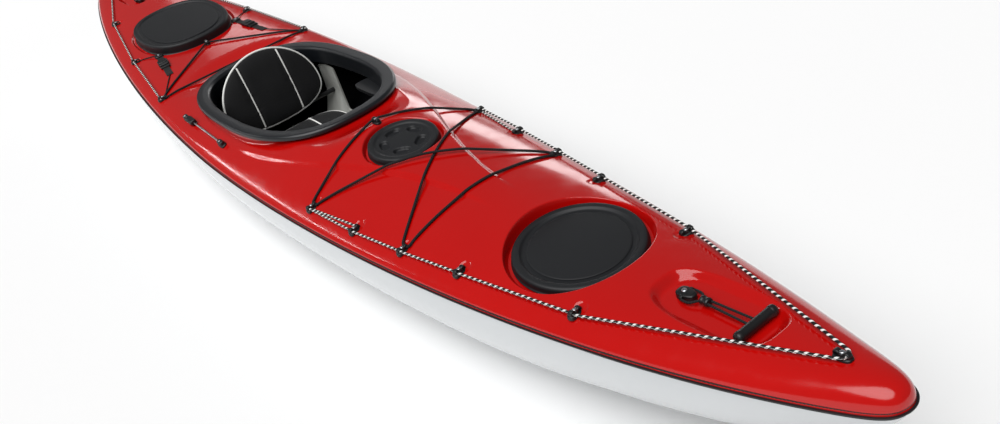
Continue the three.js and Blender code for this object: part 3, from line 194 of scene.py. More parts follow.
def braided(name, colour, fleck, pitch, share, strands):
    material, tree, shader, place = startMaterial(name, colour, {"Roughness": 0.8, "IOR": 1.46})
    run = addNode(tree, "Attribute", {"attribute_name": "cordRun"}).outputs["Vector"]
    length, turn = addNode(tree, "SeparateXYZ", links={0: run}).outputs[:2]
    turns = addNode(tree, "Math", {"operation": "MULTIPLY_ADD", 1: 1 / pitch}, {0: length, 2: turn})
    stripe = addNode(tree, "Math", {"operation": "FRACT"}, {0: turns})
    lit = addNode(tree, "Math", {"operation": "LESS_THAN", 1: share}, {0: stripe})
    around = addNode(tree, "Math", {"operation": "MULTIPLY", 1: float(strands)}, {0: turn})
    twist = addNode(tree, "Math", {"operation": "MULTIPLY_ADD", 1: braid["ridgesPerPitch"] / pitch},
                    {0: length, 2: around})
    angle = addNode(tree, "Math", {"operation": "MULTIPLY", 1: 2 * math.pi}, {0: twist})
    ridge = addNode(tree, "Math", {"operation": "SINE"}, {0: angle})
    dress(tree, shader, (colour, fleck), lit, [(ridge, braid["strength"], braid["depth"])])
    return material


# Stainless steel, turned: bright, with fine scratches 1.2 mm apart.
def turnedSteel(name):
    material, tree, shader, place = startMaterial(name, "#c9ccd0", {"Roughness": 0.28, "Metallic": 1.0})
    scratch = addNode(tree, "TexNoise", {"Scale": perMetre(1.2), "Detail": 4.0}, {"Vector": place})
    rough = addNode(tree, "MapRange", {"To Min": 0.18, "To Max": 0.42}, {"Value": scratch})
    tree.links.new(rough.outputs[0], shader.inputs["Roughness"])
    return material


finish = {
    "red": glossSheet("absRed", "#bb0a07", "#af0806"),
    "white": glossSheet("absWhite", "#cdd0d2", "#c8ccce"),
    "inner": moulded("absBlackInside", "#08090a", "#0e0f11", 0.22, 2.5, 0.03),
    "strip": moulded("epdmStrip", "#0b0c0e", "#16181b", 0.5, 1.5, 0.03),
    "coaming": moulded("absCharcoal", "#101317", "#191c21", 0.34, 1.2, 0.03),
    "rubber": moulded("mouldedRubber", "#0a0c10", "#101317", 0.55, 1.0, 0.05),
    "nylon": moulded("nylonBlack", "#0a0b0c", "#15171a", 0.4, 0.9, 0.03),
    "grey": moulded("polyethyleneGrey", "#9d9e99", "#adaea9", 0.45, 1.6, 0.06),
    "fabric": woven("polyesterBlack", "#08080a", "#111114", 2.2, 0.85),
    "piping": woven("pipingWhite", "#f2f2ee", "#fdfdfa", 1.4, 0.7),
    "webbing": woven("webbingBlack", "#08090a", "#141618", 2.6, 0.8),
    "line": braided("polyesterLine", "#0b0b0c", "#f0f1ee", 14.0, 0.36, 4),
    "bungee": braided("shockCord", "#08080a", "#17171a", 5.0, 0.5, 6),
    "toggleCord": braided("toggleCord", "#0c0c0e", "#1d1e21", 5.0, 0.5, 5),
    "steel": turnedSteel("stainlessSteel"),
}
print("materials made")


# The form of the boat: the same formulas as the solids, for arrays of places.
boat = {
    "length": 3660, "beam": 610, "widestAt": -70, "bowPower": 1.69, "sternPower": 1.9, "nosePower": 0.66,
    "noseLoss": 0.16, "lossPower": 32, "seam": 198, "bowRise": 142, "sternRise": 76, "bowSweep": 8,
    "sweepPower": 12, "edgeGap": 1.2, "wall": 4, "keelFlat": 90, "flatMost": 0.75, "firstTurn": 0.8,
    "bowRocker": 40.6, "sternRocker": 25, "levelKeel": 0.25, "middlePower": 2.9,
}
# The hull's section power and stem: the two ends as the solids have them, and the bow's sharper, raked form.
stems = {
    "bow": {"loss": 1.6, "lossPower": 1.5, "power": 14, "round": 0.55},
    "stern": {"loss": 1.4, "lossPower": 2, "power": 14, "round": 0.55},
    "raked": {"loss": 1.838, "lossPower": 1.506, "power": 5.46, "round": 0.733},
}
rake = {"from": 0.5, "full": 0.75}
deck = {
    "flank": 34, "bowCrown": 42, "foreCrown": 78, "sternCrown": 38, "peakAt": 250, "fade": 750,
    "crownFade": 1.8, "nosePower": 90, "shoulderPower": 7, "shoulderLoss": 3, "crownRound": 1.5,
}
crease = {"wide": 240, "narrow": 35, "aft": -50, "fore": 950, "step": 9, "width": 13}
coaming = {
    "x": -83, "z": 278.5, "halfLength": 406, "halfWidth": 228, "power": 2.6, "pitch": 0.08, "neckInset": 22,
    "neckTop": 1.5, "dishDrop": 14, "dishInner": 1.05, "dishOuter": 1.28, "round": 3.2, "count": 220,
    "profile": [(0, -8), (0.3, 0.5), (5, 5), (20, 5.2), (34, 3.6), (40, -4), (40, -48), (26.3, -48),
                (26.3, -1.2), (8, -1.2), (4, -4), (4, -8)],
}
hatches = {
    "bow": {"x": 1158, "sunk": 35.34, "long": 129, "wide": 129, "margin": 12, "rim": 14, "pitch": 0,
            "power": 2},
    "stern": {"x": -970, "sunk": 10.31, "long": 195, "wide": 155, "margin": 12, "rim": 28,
              "pitch": -0.045, "power": 2.4},
    "day": {"x": 543, "sunk": 23.2, "long": 86, "wide": 86, "margin": 9, "rim": 9, "pitch": -0.06, "power": 2},
}
opening = {"inset": 14.4, "wall": 9}
trough = {"bow": 1497, "stern": -1480, "long": 230, "wide": 106, "depth": 16, "power": 3.2, "wall": 22}

bowLength = boat["length"] / 2 - boat["widestAt"]
sternLength = boat["length"] / 2 + boat["widestAt"]


def smooth(value):
    t = np.clip(value, 0, 1)
    return t * t * (3 - 2 * t)


def unit(vectors):
    return vectors / np.maximum(np.linalg.norm(vectors, axis=-1, keepdims=True), 1e-9)


def along(x):
    full = np.where(x > boat["widestAt"], bowLength, sternLength)
    return np.clip(np.abs(x - boat["widestAt"]) / full, 0, 1)


def byEnd(x, bow, stern):
    return np.where(x > boat["widestAt"], bow, stern)


def halfBeam(x):
    u = along(x)
    nosePower = boat["nosePower"] - byEnd(x, boat["noseLoss"], 0) * u ** boat["lossPower"]
    return boat["beam"] / 2 * (1 - u ** byEnd(x, boat["bowPower"], boat["sternPower"])) ** nosePower


def seamHeight(x):
    u = along(x)
    sweep = byEnd(x, boat["bowSweep"], 0) * u ** boat["sweepPower"]
    return boat["seam"] + byEnd(x, boat["bowRise"], boat["sternRise"]) * u ** 2 + sweep


def keelHeight(x):
    rise = np.clip((along(x) - boat["levelKeel"]) / (1 - boat["levelKeel"]), 0, 1) ** 2
    return byEnd(x, boat["bowRocker"], boat["sternRocker"]) * rise


def crownHeight(x):
    past = np.maximum(0, x - deck["peakAt"]) / deck["fade"]
    fore = deck["foreCrown"] * np.exp(-(past ** deck["crownFade"]))
    blend = smooth((x - coaming["x"] + coaming["halfLength"]) / (2 * coaming["halfLength"]))
    return deck["sternCrown"] + (deck["bowCrown"] + fore - deck["sternCrown"]) * blend


def creaseAt(x):
    turn = np.pi * np.clip(x / crease["fore"], 0, 1)
    return crease["narrow"] + (crease["wide"] - crease["narrow"]) * (0.5 + 0.5 * np.cos(turn))


def creaseStep(x):
    fade = smooth((x - crease["aft"]) / crease["wide"]) * smooth((crease["fore"] - x) / crease["wide"])
    return crease["step"] * fade


def coamingPlane(x):
    return coaming["z"] + math.tan(coaming["pitch"]) * (x - coaming["x"])


# Where a place lies in an oval: 0 at its middle and 1 on its edge.
def ovalShare(x, y, halfLength, halfWidth, power):
    return ((np.abs(x) / halfLength) ** power + (np.abs(y) / halfWidth) ** power) ** (1 / power)


# An outline is an oval's middle, half length, half width and power.
def grown(outline, offset):
    x0, halfLength, halfWidth, power = outline
    return x0, halfLength + offset, halfWidth + offset, power


# How far a place lies outside an outline, measured along the ray from its middle.
def outside(x, y, outline):
    x0, *form = outline
    return np.hypot(x - x0, y) * (1 - 1 / np.maximum(ovalShare(x - x0, y, *form), 1e-6))


def plainDeck(x, y):
    half = np.maximum(halfBeam(x), 1e-3)
    u = along(x)
    t = np.clip(np.abs(y) / half, 0, 1)
    nose = (1 - u ** deck["nosePower"]) ** 0.5
    shoulder = (1 - t ** (deck["shoulderPower"] - deck["shoulderLoss"] * u * u)) ** 0.5
    rise = crownHeight(x) - deck["flank"]
    step = creaseStep(x)
    cowl = step * smooth(0.5 + (creaseAt(x) - np.abs(y)) / crease["width"])
    crown = (rise - step * rise / (rise + deck["flank"])) * (1 - t * t) ** deck["crownRound"]
    plain = seamHeight(x) + nose * (deck["flank"] * shoulder + crown + cowl * (1 - t * t))
    ring = ovalShare(x - coaming["x"], y, coaming["halfLength"], coaming["halfWidth"], coaming["power"])
    dish = smooth((coaming["dishOuter"] - ring) / (coaming["dishOuter"] - coaming["dishInner"]))
    return plain - dish * np.maximum(0, plain - coamingPlane(x) + coaming["dishDrop"])


def middleHeight(x):
    return float(plainDeck(np.array(float(x)), np.array(0.0)))


def troughPlane(x0):
    half = trough["long"] / 2
    aft, fore = middleHeight(x0 - half), middleHeight(x0 + half)
    return min(middleHeight(x0), (aft + fore) / 2) - trough["depth"], math.atan2(fore - aft, trough["long"])


# Pressed pans: an outline, a floor plane and the width of the rounded wall.
pans = []
for hatch in hatches.values():
    hatch["outline"] = (hatch["x"], hatch["long"], hatch["wide"], hatch["power"])
    hatch["floor"] = middleHeight(hatch["x"]) - hatch["sunk"]
    pans.append({"outline": grown(hatch["outline"], hatch["margin"]), "floor": hatch["floor"],
                 "slope": math.tan(hatch["pitch"]), "soft": opening["wall"]})
for end in ("bow", "stern"):
    floor, pitch = troughPlane(trough[end])
    outline = (trough[end], trough["long"] / 2, trough["wide"] / 2, trough["power"])
    pans.append({"outline": outline, "floor": floor, "slope": math.tan(pitch), "soft": trough["wall"]})
coamingOutline = (coaming["x"], coaming["halfLength"], coaming["halfWidth"], coaming["power"])
neck = {"outline": grown(coamingOutline, -coaming["neckInset"]), "soft": 20, "sweep": 3.2}

# Shallow moulded seats inboard of the deck fittings.
seats = {"radius": 13, "depth": 2.2, "soft": 6, "inboard": 15}
sides = {"port": 1, "starboard": -1}
dimples = []
for side, sign in sides.items():
    for key in "abcdeghi":
        low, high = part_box("deck_fitting_" + key + "_" + side)
        x, y, _ = np.array((low + high) / 2) / mm
        dimples.append((x, y - sign * seats["inboard"]))


def deckSurface(x, y):
    x, y = np.asarray(x, float), np.asarray(y, float)
    height = plainDeck(x, y)
    for pan in pans:
        share = smooth(0.5 - outside(x, y, pan["outline"]) / pan["soft"])
        height = height + share * (pan["floor"] + pan["slope"] * (x - pan["outline"][0]) - height)
    share = np.clip(1 - outside(x, y, neck["outline"]) / neck["soft"], 0, 1) ** neck["sweep"]
    height = height + share * (coamingPlane(x) - coaming["neckTop"] - height)
    for dx, dy in dimples:
        away = np.hypot(x - dx, y - dy) - seats["radius"]
        height = height - seats["depth"] * smooth(0.5 - away / seats["soft"])
    return height


def deckNormal(x, y, reach=0.6):
    x, y = np.asarray(x, float), np.asarray(y, float)
    edge = np.maximum(halfBeam(x) - 1.5 * reach, 0)
    y = np.clip(y, -edge, edge)
    slopeX = (deckSurface(x + reach, y) - deckSurface(x - reach, y)) / (2 * reach)
    slopeY = (deckSurface(x, y + reach) - deckSurface(x, y - reach)) / (2 * reach)
    return unit(np.stack([-slopeX, -slopeY, np.ones_like(slopeX)], -1))


# Mesh making. A shape is a pair: points in millimetres, and faces.
def addMesh(name, shape, look, body="root", replaces=(), sharp=38, outward=True):
    points, faces = shape
    mesh = bpy.data.meshes.new(name)
    mesh.from_pydata((np.asarray(points, float) * mm).tolist(), [], [tuple(int(i) for i in f) for f in faces])
    if outward:
        form = bmesh.new()
        form.from_mesh(mesh)
        bmesh.ops.recalc_face_normals(form, faces=form.faces)
        form.to_mesh(mesh)
        form.free()
    mesh.polygons.foreach_set("use_smooth", [True] * len(mesh.polygons))
    if sharp:
        mesh.set_sharp_from_angle(angle=math.radians(sharp))
    mesh.materials.append(finish[look])
    piece = bpy.data.objects.new(name, mesh)
    scene.collection.objects.link(piece)
    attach(piece, body)
    if replaces:
        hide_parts(*replaces)
    return piece


def oval(halfLength, halfWidth, power, count):
    angle = np.arange(count) / count * 2 * np.pi
    c, s = np.cos(angle), np.sin(angle)
    x = halfLength * np.sign(c) * np.abs(c) ** (2 / power)
    y = halfWidth * np.sign(s) * np.abs(s) ** (2 / power)
    return np.stack([x, y], 1)


# Faces between rings of equally many points. Rings may close on themselves, and a loft's open ends get a fan.
def ringFaces(rows, count, closed=False):
    faces = []
    pairs = rows if closed else rows - 1
    for i in range(pairs):
        a, b = i * count, (i + 1) % rows * count
        for j in range(count):
            k = (j + 1) % count
            faces.append((a + j, a + k, b + k, b + j))
    return faces


def loft(rings, closed=False):
    rings = [np.asarray(r, float) for r in rings]
    count = len(rings[0])
    points = np.concatenate(rings)
    faces = ringFaces(len(rings), count, closed)
    if not closed:
        for ring, start in ((rings[0], 0), (rings[-1], (len(rings) - 1) * count)):
            faces += [(start + j, start + (j + 1) % count, len(points)) for j in range(count)]
            points = np.concatenate([points, [ring.mean(0)]])
    return points, faces


def placed(points, place):
    turned = np.array(place)[:3, :3]
    return np.asarray(points, float) @ turned.T + np.array(place)[:3, 3]


def moved(shape, place):
    return placed(shape[0], place), shape[1]


def shifted(place, x=0.0, y=0.0, z=0.0):
    return place @ Matrix.Translation((x, y, z))


def tilted(x, z, pitch):
    return Matrix.Translation((x, 0, z)) @ Matrix.Rotation(-pitch, 4, "Y")


# An oval piece from a profile of (inset, height) pairs.
def ovalStack(halfLength, halfWidth, power, profile, place, count, closed=False):
    rings = []
    for inset, height in profile:
        flat = oval(halfLength - inset, halfWidth - inset, power, count)
        rings.append(np.column_stack([flat, np.full(count, height)]))
    return moved(loft(rings, closed), place)


# Rounds the corners of a profile: every corner becomes an arc of short chords.
def rounded(profile, radius, steps=4, closed=False):
    profile = [np.array(p, float) for p in profile]
    made = []
    last = len(profile) - 1
    for i, corner in enumerate(profile):
        if not closed and i in (0, last):
            made.append(corner)
            continue
        before, after = profile[i - 1], profile[(i + 1) % len(profile)]
        reach = min(radius, 0.45 * np.linalg.norm(corner - before), 0.45 * np.linalg.norm(after - corner))
        start = corner + (before - corner) / np.linalg.norm(before - corner) * reach
        end = corner + (after - corner) / np.linalg.norm(after - corner) * reach
        for s in np.linspace(0, 1, steps + 1):
            made.append((1 - s) ** 2 * start + 2 * s * (1 - s) * corner + s * s * end)
    return made


# A round tube along a route, which carries its length and turn for the braid.
def tube(name, route, radius, look, body="root", replaces=(), sides=14, closed=False):
    route = np.asarray(route, float)
    count = len(route)
    if closed:
        ahead = np.roll(route, -1, 0) - np.roll(route, 1, 0)
    else:
        ahead = np.gradient(route, axis=0)
    ahead = unit(ahead)
    side = unit(np.cross(ahead[0], (0.13, 0.21, 0.97)))
    circle = oval(1, 1, 2, sides)
    rings = []
    for i in range(count):
        side = unit(side - ahead[i] * np.dot(side, ahead[i]))
        other = np.cross(ahead[i], side)
        rings.append(route[i] + radius * (circle[:, :1] * side + circle[:, 1:] * other))
    points, faces = loft(rings, closed)
    piece = addMesh(name, (points, faces), look, body, replaces, sharp=60)
    steps = np.linalg.norm(np.diff(route, axis=0), axis=1)
    run = np.concatenate([[0], np.cumsum(steps)])
    values = np.zeros((len(points), 3), np.float32)
    values[:count * sides, 0] = np.repeat(run, sides)
    values[:count * sides, 1] = np.tile(np.arange(sides) / sides, count)
    cordRun = piece.data.attributes.new("cordRun", "FLOAT_VECTOR", "POINT")
    cordRun.data.foreach_set("vector", values.ravel())
    return piece


def even(route, step):
    route = np.asarray(route, float)
    lengths = np.concatenate([[0], np.cumsum(np.linalg.norm(np.diff(route, axis=0), axis=1))])
    count = max(2, int(round(lengths[-1] / step)) + 1)
    at = np.linspace(0, lengths[-1], count)
    return np.stack([np.interp(at, lengths, route[:, k]) for k in range(3)], 1)


def eased(route, passes):
    route = np.array(route, float)
    for _ in range(passes):
        route[1:-1] = 0.25 * route[:-2] + 0.5 * route[1:-1] + 0.25 * route[2:]
    return route


# Deck: a mesh whose points follow the plan, the crease and rings round every pan, lifted to the surface.
deckMesh = {
    "stations": 210, "crowding": 1.55, "innerColumns": 17, "creaseColumns": 7, "creaseAtMost": 0.8,
    "creaseHalfMost": 0.1, "panRings": 10, "panReach": 0.62, "panStep": 6, "holeCount": 96, "neckCount": 240,
    "neckRings": (0, 0.8, 1.8, 3, 4.5, 6.5, 9, 12, 16, 21), "seatRings": (-0.6, -0.35, -0.12, 0.12, 0.35, 0.6),
    "seatCount": 26, "clear": 3, "holeClear": 2,
    "outerShares": (0.12, 0.24, 0.36, 0.48, 0.58, 0.67, 0.75, 0.81, 0.86, 0.9, 0.93, 0.953, 0.97, 0.982,
                    0.991, 0.997),
}


def deckStations(count, crowding):
    share = np.linspace(0, 1, count + 1)[1:-1]
    share = 1 - (1 - share) ** crowding
    stern = boat["widestAt"] - share[::-1] * sternLength
    bow = boat["widestAt"] + share * bowLength
    return np.concatenate([stern, [boat["widestAt"]], bow])


def buildDeck():
    points, edges, holes, keepOut = [], [], [], []
    clear = deckMesh["clear"]

    def addLoop(loop):
        start = len(points)
        points.extend([tuple(p) for p in loop])
        edges.extend([(start + i, start + (i + 1) % len(loop)) for i in range(len(loop))])

    def addOutline(outline, count):
        x0, *form = outline
        addLoop(oval(*form, count) + (x0, 0))

    xs = deckStations(deckMesh["stations"], deckMesh["crowding"])
    halves = halfBeam(xs)
    tip = boat["length"] / 2
    addLoop([(-tip, 0.0), *zip(xs, halves), (tip, 0.0), *zip(xs[::-1], -halves[::-1])])
    for pan in pans:
        outline = pan["outline"]
        offsets = np.linspace(-deckMesh["panReach"], deckMesh["panReach"], deckMesh["panRings"]) * pan["soft"]
        keepOut.append((outline, offsets[0] - clear, offsets[-1] + clear))
        count = int(2 * math.pi * (outline[1] + outline[2]) / 2 / deckMesh["panStep"])
        for offset in offsets:
            addOutline(grown(outline, offset), count)
    for hatch in hatches.values():
        holes.append(grown(hatch["outline"], -opening["inset"]))
        addOutline(holes[-1], deckMesh["holeCount"])
        keepOut.append((holes[-1], -1e9, deckMesh["holeClear"]))
    for offset in deckMesh["neckRings"]:
        addOutline(grown(neck["outline"], offset), deckMesh["neckCount"])
    holes.append(grown(neck["outline"], -boat["wall"]))
    addOutline(holes[-1], deckMesh["neckCount"])
    keepOut.append((neck["outline"], -1e9, offset + clear))
    for dx, dy in dimples:
        for share in deckMesh["seatRings"]:
            radius = seats["radius"] + share * seats["soft"]
            addLoop(oval(radius, radius, 2, deckMesh["seatCount"]) + (dx, dy))
        points.append((dx, dy))

    grid = []
    for x, half in zip(xs, halves):
        mid = min(float(creaseAt(np.array(x))), deckMesh["creaseAtMost"] * half)
        width = min(crease["width"] / 2, deckMesh["creaseHalfMost"] * half)
        inner = np.linspace(0, mid - width, deckMesh["innerColumns"])
        band = np.linspace(mid - width, mid + width, deckMesh["creaseColumns"] + 1)[1:]
        outer = [mid + width + (half - mid - width) * s for s in deckMesh["outerShares"]]
        for y in (*inner, *band, *outer):
            grid += [(x, y), (x, -y)] if y > 0 else [(x, y)]
    grid = np.array(grid)
    keep = np.ones(len(grid), bool)
    for outline, low, high in keepOut:
        away = outside(grid[:, 0], grid[:, 1], outline)
        keep &= (away <= low) | (away >= high)
    for dx, dy in dimples:
        keep &= np.hypot(grid[:, 0] - dx, grid[:, 1] - dy) > seats["radius"] + seats["soft"]
    points.extend([tuple(p) for p in grid[keep]])

    flat = [Vector((float(x), float(y))) for x, y in points]
    verts, _, triangles, *_ = delaunay_2d_cdt(flat, edges, [], 0, 1e-4, False)
    xy = np.array([(v.x, v.y) for v in verts])
    faces = np.array(triangles, int)
    middle = xy[faces].mean(1)
    good = np.abs(middle[:, 1]) < halfBeam(middle[:, 0])
    for outline in holes:
        good &= outside(middle[:, 0], middle[:, 1], outline) > -0.02
    faces = faces[good]
    used = np.unique(faces)
    order = np.full(len(xy), -1)
    order[used] = np.arange(len(used))
    return xy[used], order[faces]


# Both shells are drawn as thick as a formed sheet, with a black inside.
sheetThickness = 3.2


def addShell(name, outer, normals, faces, look, node):
    count = len(outer)
    inner = outer - normals * sheetThickness
    edges = dict.fromkeys((int(a), int(b)) for face in faces for a, b in zip(face, (*face[1:], face[0])))
    rim = [(a, b) for a, b in edges if (b, a) not in edges]
    allFaces = [tuple(f) for f in faces] + [tuple(int(i) + count for i in reversed(f)) for f in faces]
    allFaces += [(b, a, a + count, b + count) for a, b in rim]
    shape = (np.concatenate([outer, inner]), allFaces)
    piece = addMesh(name, shape, look, replaces=(node,), sharp=None, outward=False)
    piece.data.normals_split_custom_set_from_vertices(np.concatenate([normals, -normals]).tolist())
    piece.data.materials.append(finish["inner"])
    inside = np.zeros(len(allFaces), np.int32)
    inside[len(faces):] = 1
    piece.data.polygons.foreach_set("material_index", inside)


deckPlan, deckFaces = buildDeck()
deckPoints = np.column_stack([deckPlan, deckSurface(deckPlan[:, 0], deckPlan[:, 1])])
deckPoints[:, 2] = np.maximum(deckPoints[:, 2], seamHeight(deckPlan[:, 0]) + boat["edgeGap"])
deckNormals = deckNormal(deckPlan[:, 0], deckPlan[:, 1])
turn = np.cross(deckPoints[deckFaces[:, 1]] - deckPoints[deckFaces[:, 0]],
                deckPoints[deckFaces[:, 2]] - deckPoints[deckFaces[:, 0]])
deckFaces[turn[:, 2] < 0] = deckFaces[turn[:, 2] < 0][:, ::-1]
addShell("deckMoulding", deckPoints, deckNormals, deckFaces, "red", "deck_shell")
print("deck:", len(deckPoints), "points")


# Hull: sections from seam to seam, with the slot for the skeg.
skeg = {"slotAft": -1390, "slotFore": -1106, "slotHalf": 7}
hullMesh = {"stations": 190, "crowding": 1.8, "turns": 26, "gather": 0.85}


def hullSections(xs, turns):
    half, seam, u = halfBeam(xs), seamHeight(xs), along(xs)
    forms = {}
    for end, stem in stems.items():
        loss = stem["loss"] * u ** stem["lossPower"]
        forms[end] = np.array([loss, (1 - u ** stem["power"]) ** stem["round"]])
    sharp = smooth((u - rake["from"]) / (rake["full"] - rake["from"]))
    loss, fill = byEnd(xs, forms["bow"] + sharp * (forms["raked"] - forms["bow"]), forms["stern"])
    power = boat["middlePower"] - loss
    depth = (seam - keelHeight(xs)) * fill
    lowest = boat["flatMost"] * half * math.cos(boat["firstTurn"] * math.pi / 2) ** (2 / power)
    flat = np.minimum(boat["keelFlat"] / 2, lowest)
    reach = (flat / np.maximum(half, 1e-6)) ** (power / 2)
    last = np.arccos(np.clip(reach, 0, 1))
    share = np.linspace(0, 1, turns) ** hullMesh["gather"]
    angle = share[None, :] * last[:, None]
    y = half[:, None] * np.cos(angle) ** (2 / power[:, None])
    fall = np.sin(angle) ** (2 / power[:, None]) / np.sin(last)[:, None] ** (2 / power[:, None])
    z = seam[:, None] - depth[:, None] * fall
    z = np.minimum(z, seam[:, None] - boat["edgeGap"])
    slot = np.minimum(skeg["slotHalf"], 0.5 * flat)
    inner = [0.5 * (flat + slot), slot, 0 * slot]
    y = np.concatenate([y, np.stack(inner, 1)], 1)
    z = np.concatenate([z, np.repeat(z[:, -1:], len(inner), 1)], 1)
    y = np.concatenate([y, -y[:, -2::-1]], 1)
    z = np.concatenate([z, z[:, -2::-1]], 1)
    return y, z


def vertexNormals(points, faces):
    normals = np.zeros_like(points)
    for face in faces:
        corner = points[list(face)]
        area = np.zeros(3)
        for i in range(len(face)):
            area += np.cross(corner[i], corner[(i + 1) % len(face)])
        for i in face:
            normals[i] += area
    return unit(normals)


def buildHull():
    xs = deckStations(hullMesh["stations"], hullMesh["crowding"])
    xs = np.unique(np.concatenate([xs, [skeg["slotAft"], skeg["slotFore"]]]))
    y, z = hullSections(xs, hullMesh["turns"])
    rows, columns = y.shape
    points = np.stack([np.repeat(xs[:, None], columns, 1), y, z], -1).reshape(-1, 3)
    faces = []
    for i in range(rows - 1):
        inSlot = skeg["slotAft"] <= xs[i] < skeg["slotFore"]
        for j in range(columns - 1):
            middle = 0.25 * (y[i, j] + y[i, j + 1] + y[i + 1, j] + y[i + 1, j + 1])
            if inSlot and abs(middle) < skeg["slotHalf"]:
                continue
            a, b = i * columns + j, (i + 1) * columns + j
            faces.append((a, a + 1, b + 1, b))
    tips = [(-boat["length"] / 2, 0), (boat["length"] / 2, rows - 1)]
    for x, row in tips:
        points = np.concatenate([points, [[x, 0, float(seamHeight(np.array(x))) - boat["edgeGap"]]]])
        tip = len(points) - 1
        for j in range(columns - 1):
            a = row * columns + j
            faces.append((tip, a + 1, a) if row == 0 else (tip, a, a + 1))
    return points, faces


hullPoints, hullFaces = buildHull()
hullNormals = vertexNormals(hullPoints, hullFaces)
if hullNormals[len(hullNormals) // 2][2] > 0:
    hullFaces = [face[::-1] for face in hullFaces]
    hullNormals = -hullNormals
addShell("hullMoulding", hullPoints, hullNormals, hullFaces, "white", "hull_shell")
print("hull:", len(hullPoints), "points")


# Seam strip: a rounded band outside the seam with a web between the two shells.
strip = {"gap": 0.3, "band": 2.4, "height": 13, "web": 1.8, "webReach": 3.6, "round": 1.0, "stations": 170,
         "crowding": 2.0}


def seamStrip():
    xs = deckStations(strip["stations"], strip["crowding"])
    tip, halves = boat["length"] / 2, halfBeam(xs)
    path = np.array([(tip, 0.0), *zip(xs[::-1], halves[::-1]), (-tip, 0.0), *zip(xs, -halves)])
    high, gap, out, web = strip["height"] / 2, strip["gap"], strip["gap"] + strip["band"], strip["web"] / 2
    band = rounded([(gap, -high), (out, -high), (out, high), (gap, high)], strip["round"], 4)
    reach = strip["webReach"]
    profile = np.array([*band, (gap, web), (-reach, web), (-reach, -web), (gap, -web)])
    inward = unit(path - np.roll(path, 1, 0))
    onward = unit(np.roll(path, -1, 0) - path)
    mean = unit(inward + onward)
    stretch = 1 / np.maximum(0.5, np.sum(mean * inward, 1))
    normal = np.stack([mean[:, 1], -mean[:, 0]], 1) * -stretch[:, None]
    rings = []
    for place, side in zip(path, normal):
        flat = place + profile[:, :1] * side
        rings.append(np.column_stack([flat, seamHeight(flat[:, 0]) + profile[:, 1]]))
    return loft(rings, closed=True)


addMesh("seamStrip", seamStrip(), "strip", replaces=("seam_trim",), sharp=50)


# Coaming: one moulding with a broad rolled lip.
coamingFrame = tilted(coaming["x"], coaming["z"], coaming["pitch"])
coamingProfile = rounded(coaming["profile"], coaming["round"], 4, closed=True)
coamingRing = ovalStack(*coamingOutline[1:], coamingProfile, coamingFrame, coaming["count"], closed=True)
addMesh("coamingMoulding", coamingRing, "coaming", replaces=("coaming",))


# Hatch covers: a skirt over the rim, a rounded bead, a sunk top and two fine steps. Their profiles are
# pairs of inset and height.
coverLook = {
    "bow": {"thick": 6, "sink": 4.5, "steps": (0.3, 0.235), "rise": 2.4, "skirtOut": 2.5, "count": 180},
    "stern": {"thick": 6, "sink": 4.5, "steps": (0.25, 0.2), "rise": 3.0, "skirtOut": 3.5, "count": 180},
    "day": {"thick": 11, "sink": 3.0, "steps": (), "rise": 0.0, "skirtOut": 1.5, "count": 200},
}
# The day cover's five pockets, and the close rings that its top needs for them.
pocket = {"count": 5, "out": 44, "halfLong": 11, "halfWide": 19, "power": 2.6, "depth": 6.5, "edge": 1.12,
          "soft": 0.3, "above": 4, "from": 24, "to": 84, "step": 1.5, "slope": 0.02}


def coverProfile(hatch, look):
    rim, out = hatch["rim"], look["skirtOut"]
    top, height = rim + look["thick"], rim + look["thick"] - look["sink"]
    reach, rise = min(hatch["long"], hatch["wide"]), look["rise"] / 2
    profile = [(9, rim + 0.3), (9, 0.6), (2 - out, 0.6), (-out, 2.6), (0.6, 5.5), (0, rim), (2.5, top - 1.2),
               (8, top), (16, top - 0.4), (20, height), (26, height - 0.3)]
    height -= 0.3
    for share in look["steps"]:
        profile += [(share * reach - 1.6, height + 0.2), (share * reach + 1.6, height + rise)]
        height += rise
    profile += [(0.55 * reach, height + 0.9), (0.85 * reach, height + 1.6)]
    return rounded(profile, 2.4, 4)


def closeRings(profile):
    kept = [p for p in profile if p[0] < pocket["from"]]
    height = kept[-1][1]
    insets = np.arange(pocket["from"] + 1, pocket["to"], pocket["step"])
    return kept + [np.array((s, height + pocket["slope"] * (s - pocket["from"]))) for s in insets]


def gripPockets(points, hatch):
    angle = np.arctan2(points[:, 1], points[:, 0])
    radius = np.hypot(points[:, 0], points[:, 1])
    top = points[:, 2] > hatch["rim"] + pocket["above"]
    for i in range(pocket["count"]):
        middle = (i + 0.5) / pocket["count"] * 2 * math.pi
        away = (angle - middle + math.pi) % (2 * math.pi) - math.pi
        ring = ovalShare(radius * np.cos(away) - pocket["out"], radius * np.sin(away), pocket["halfLong"],
                         pocket["halfWide"], pocket["power"])
        points[:, 2] -= np.where(top, pocket["depth"] * smooth((pocket["edge"] - ring) / pocket["soft"]), 0)


for name, hatch in hatches.items():
    look = coverLook[name]
    profile = coverProfile(hatch, look)
    if name == "day":
        profile = closeRings(profile)
    cover = ovalStack(*hatch["outline"][1:], profile, Matrix.Identity(4), look["count"])
    if name == "day":
        gripPockets(cover[0], hatch)
    addMesh(name + "HatchCover", moved(cover, tilted(hatch["x"], hatch["floor"], hatch["pitch"])), "rubber",
            body=name + "_cover", replaces=(name + "_hatch_cover",), sharp=55)
print("strip, coaming and covers made")


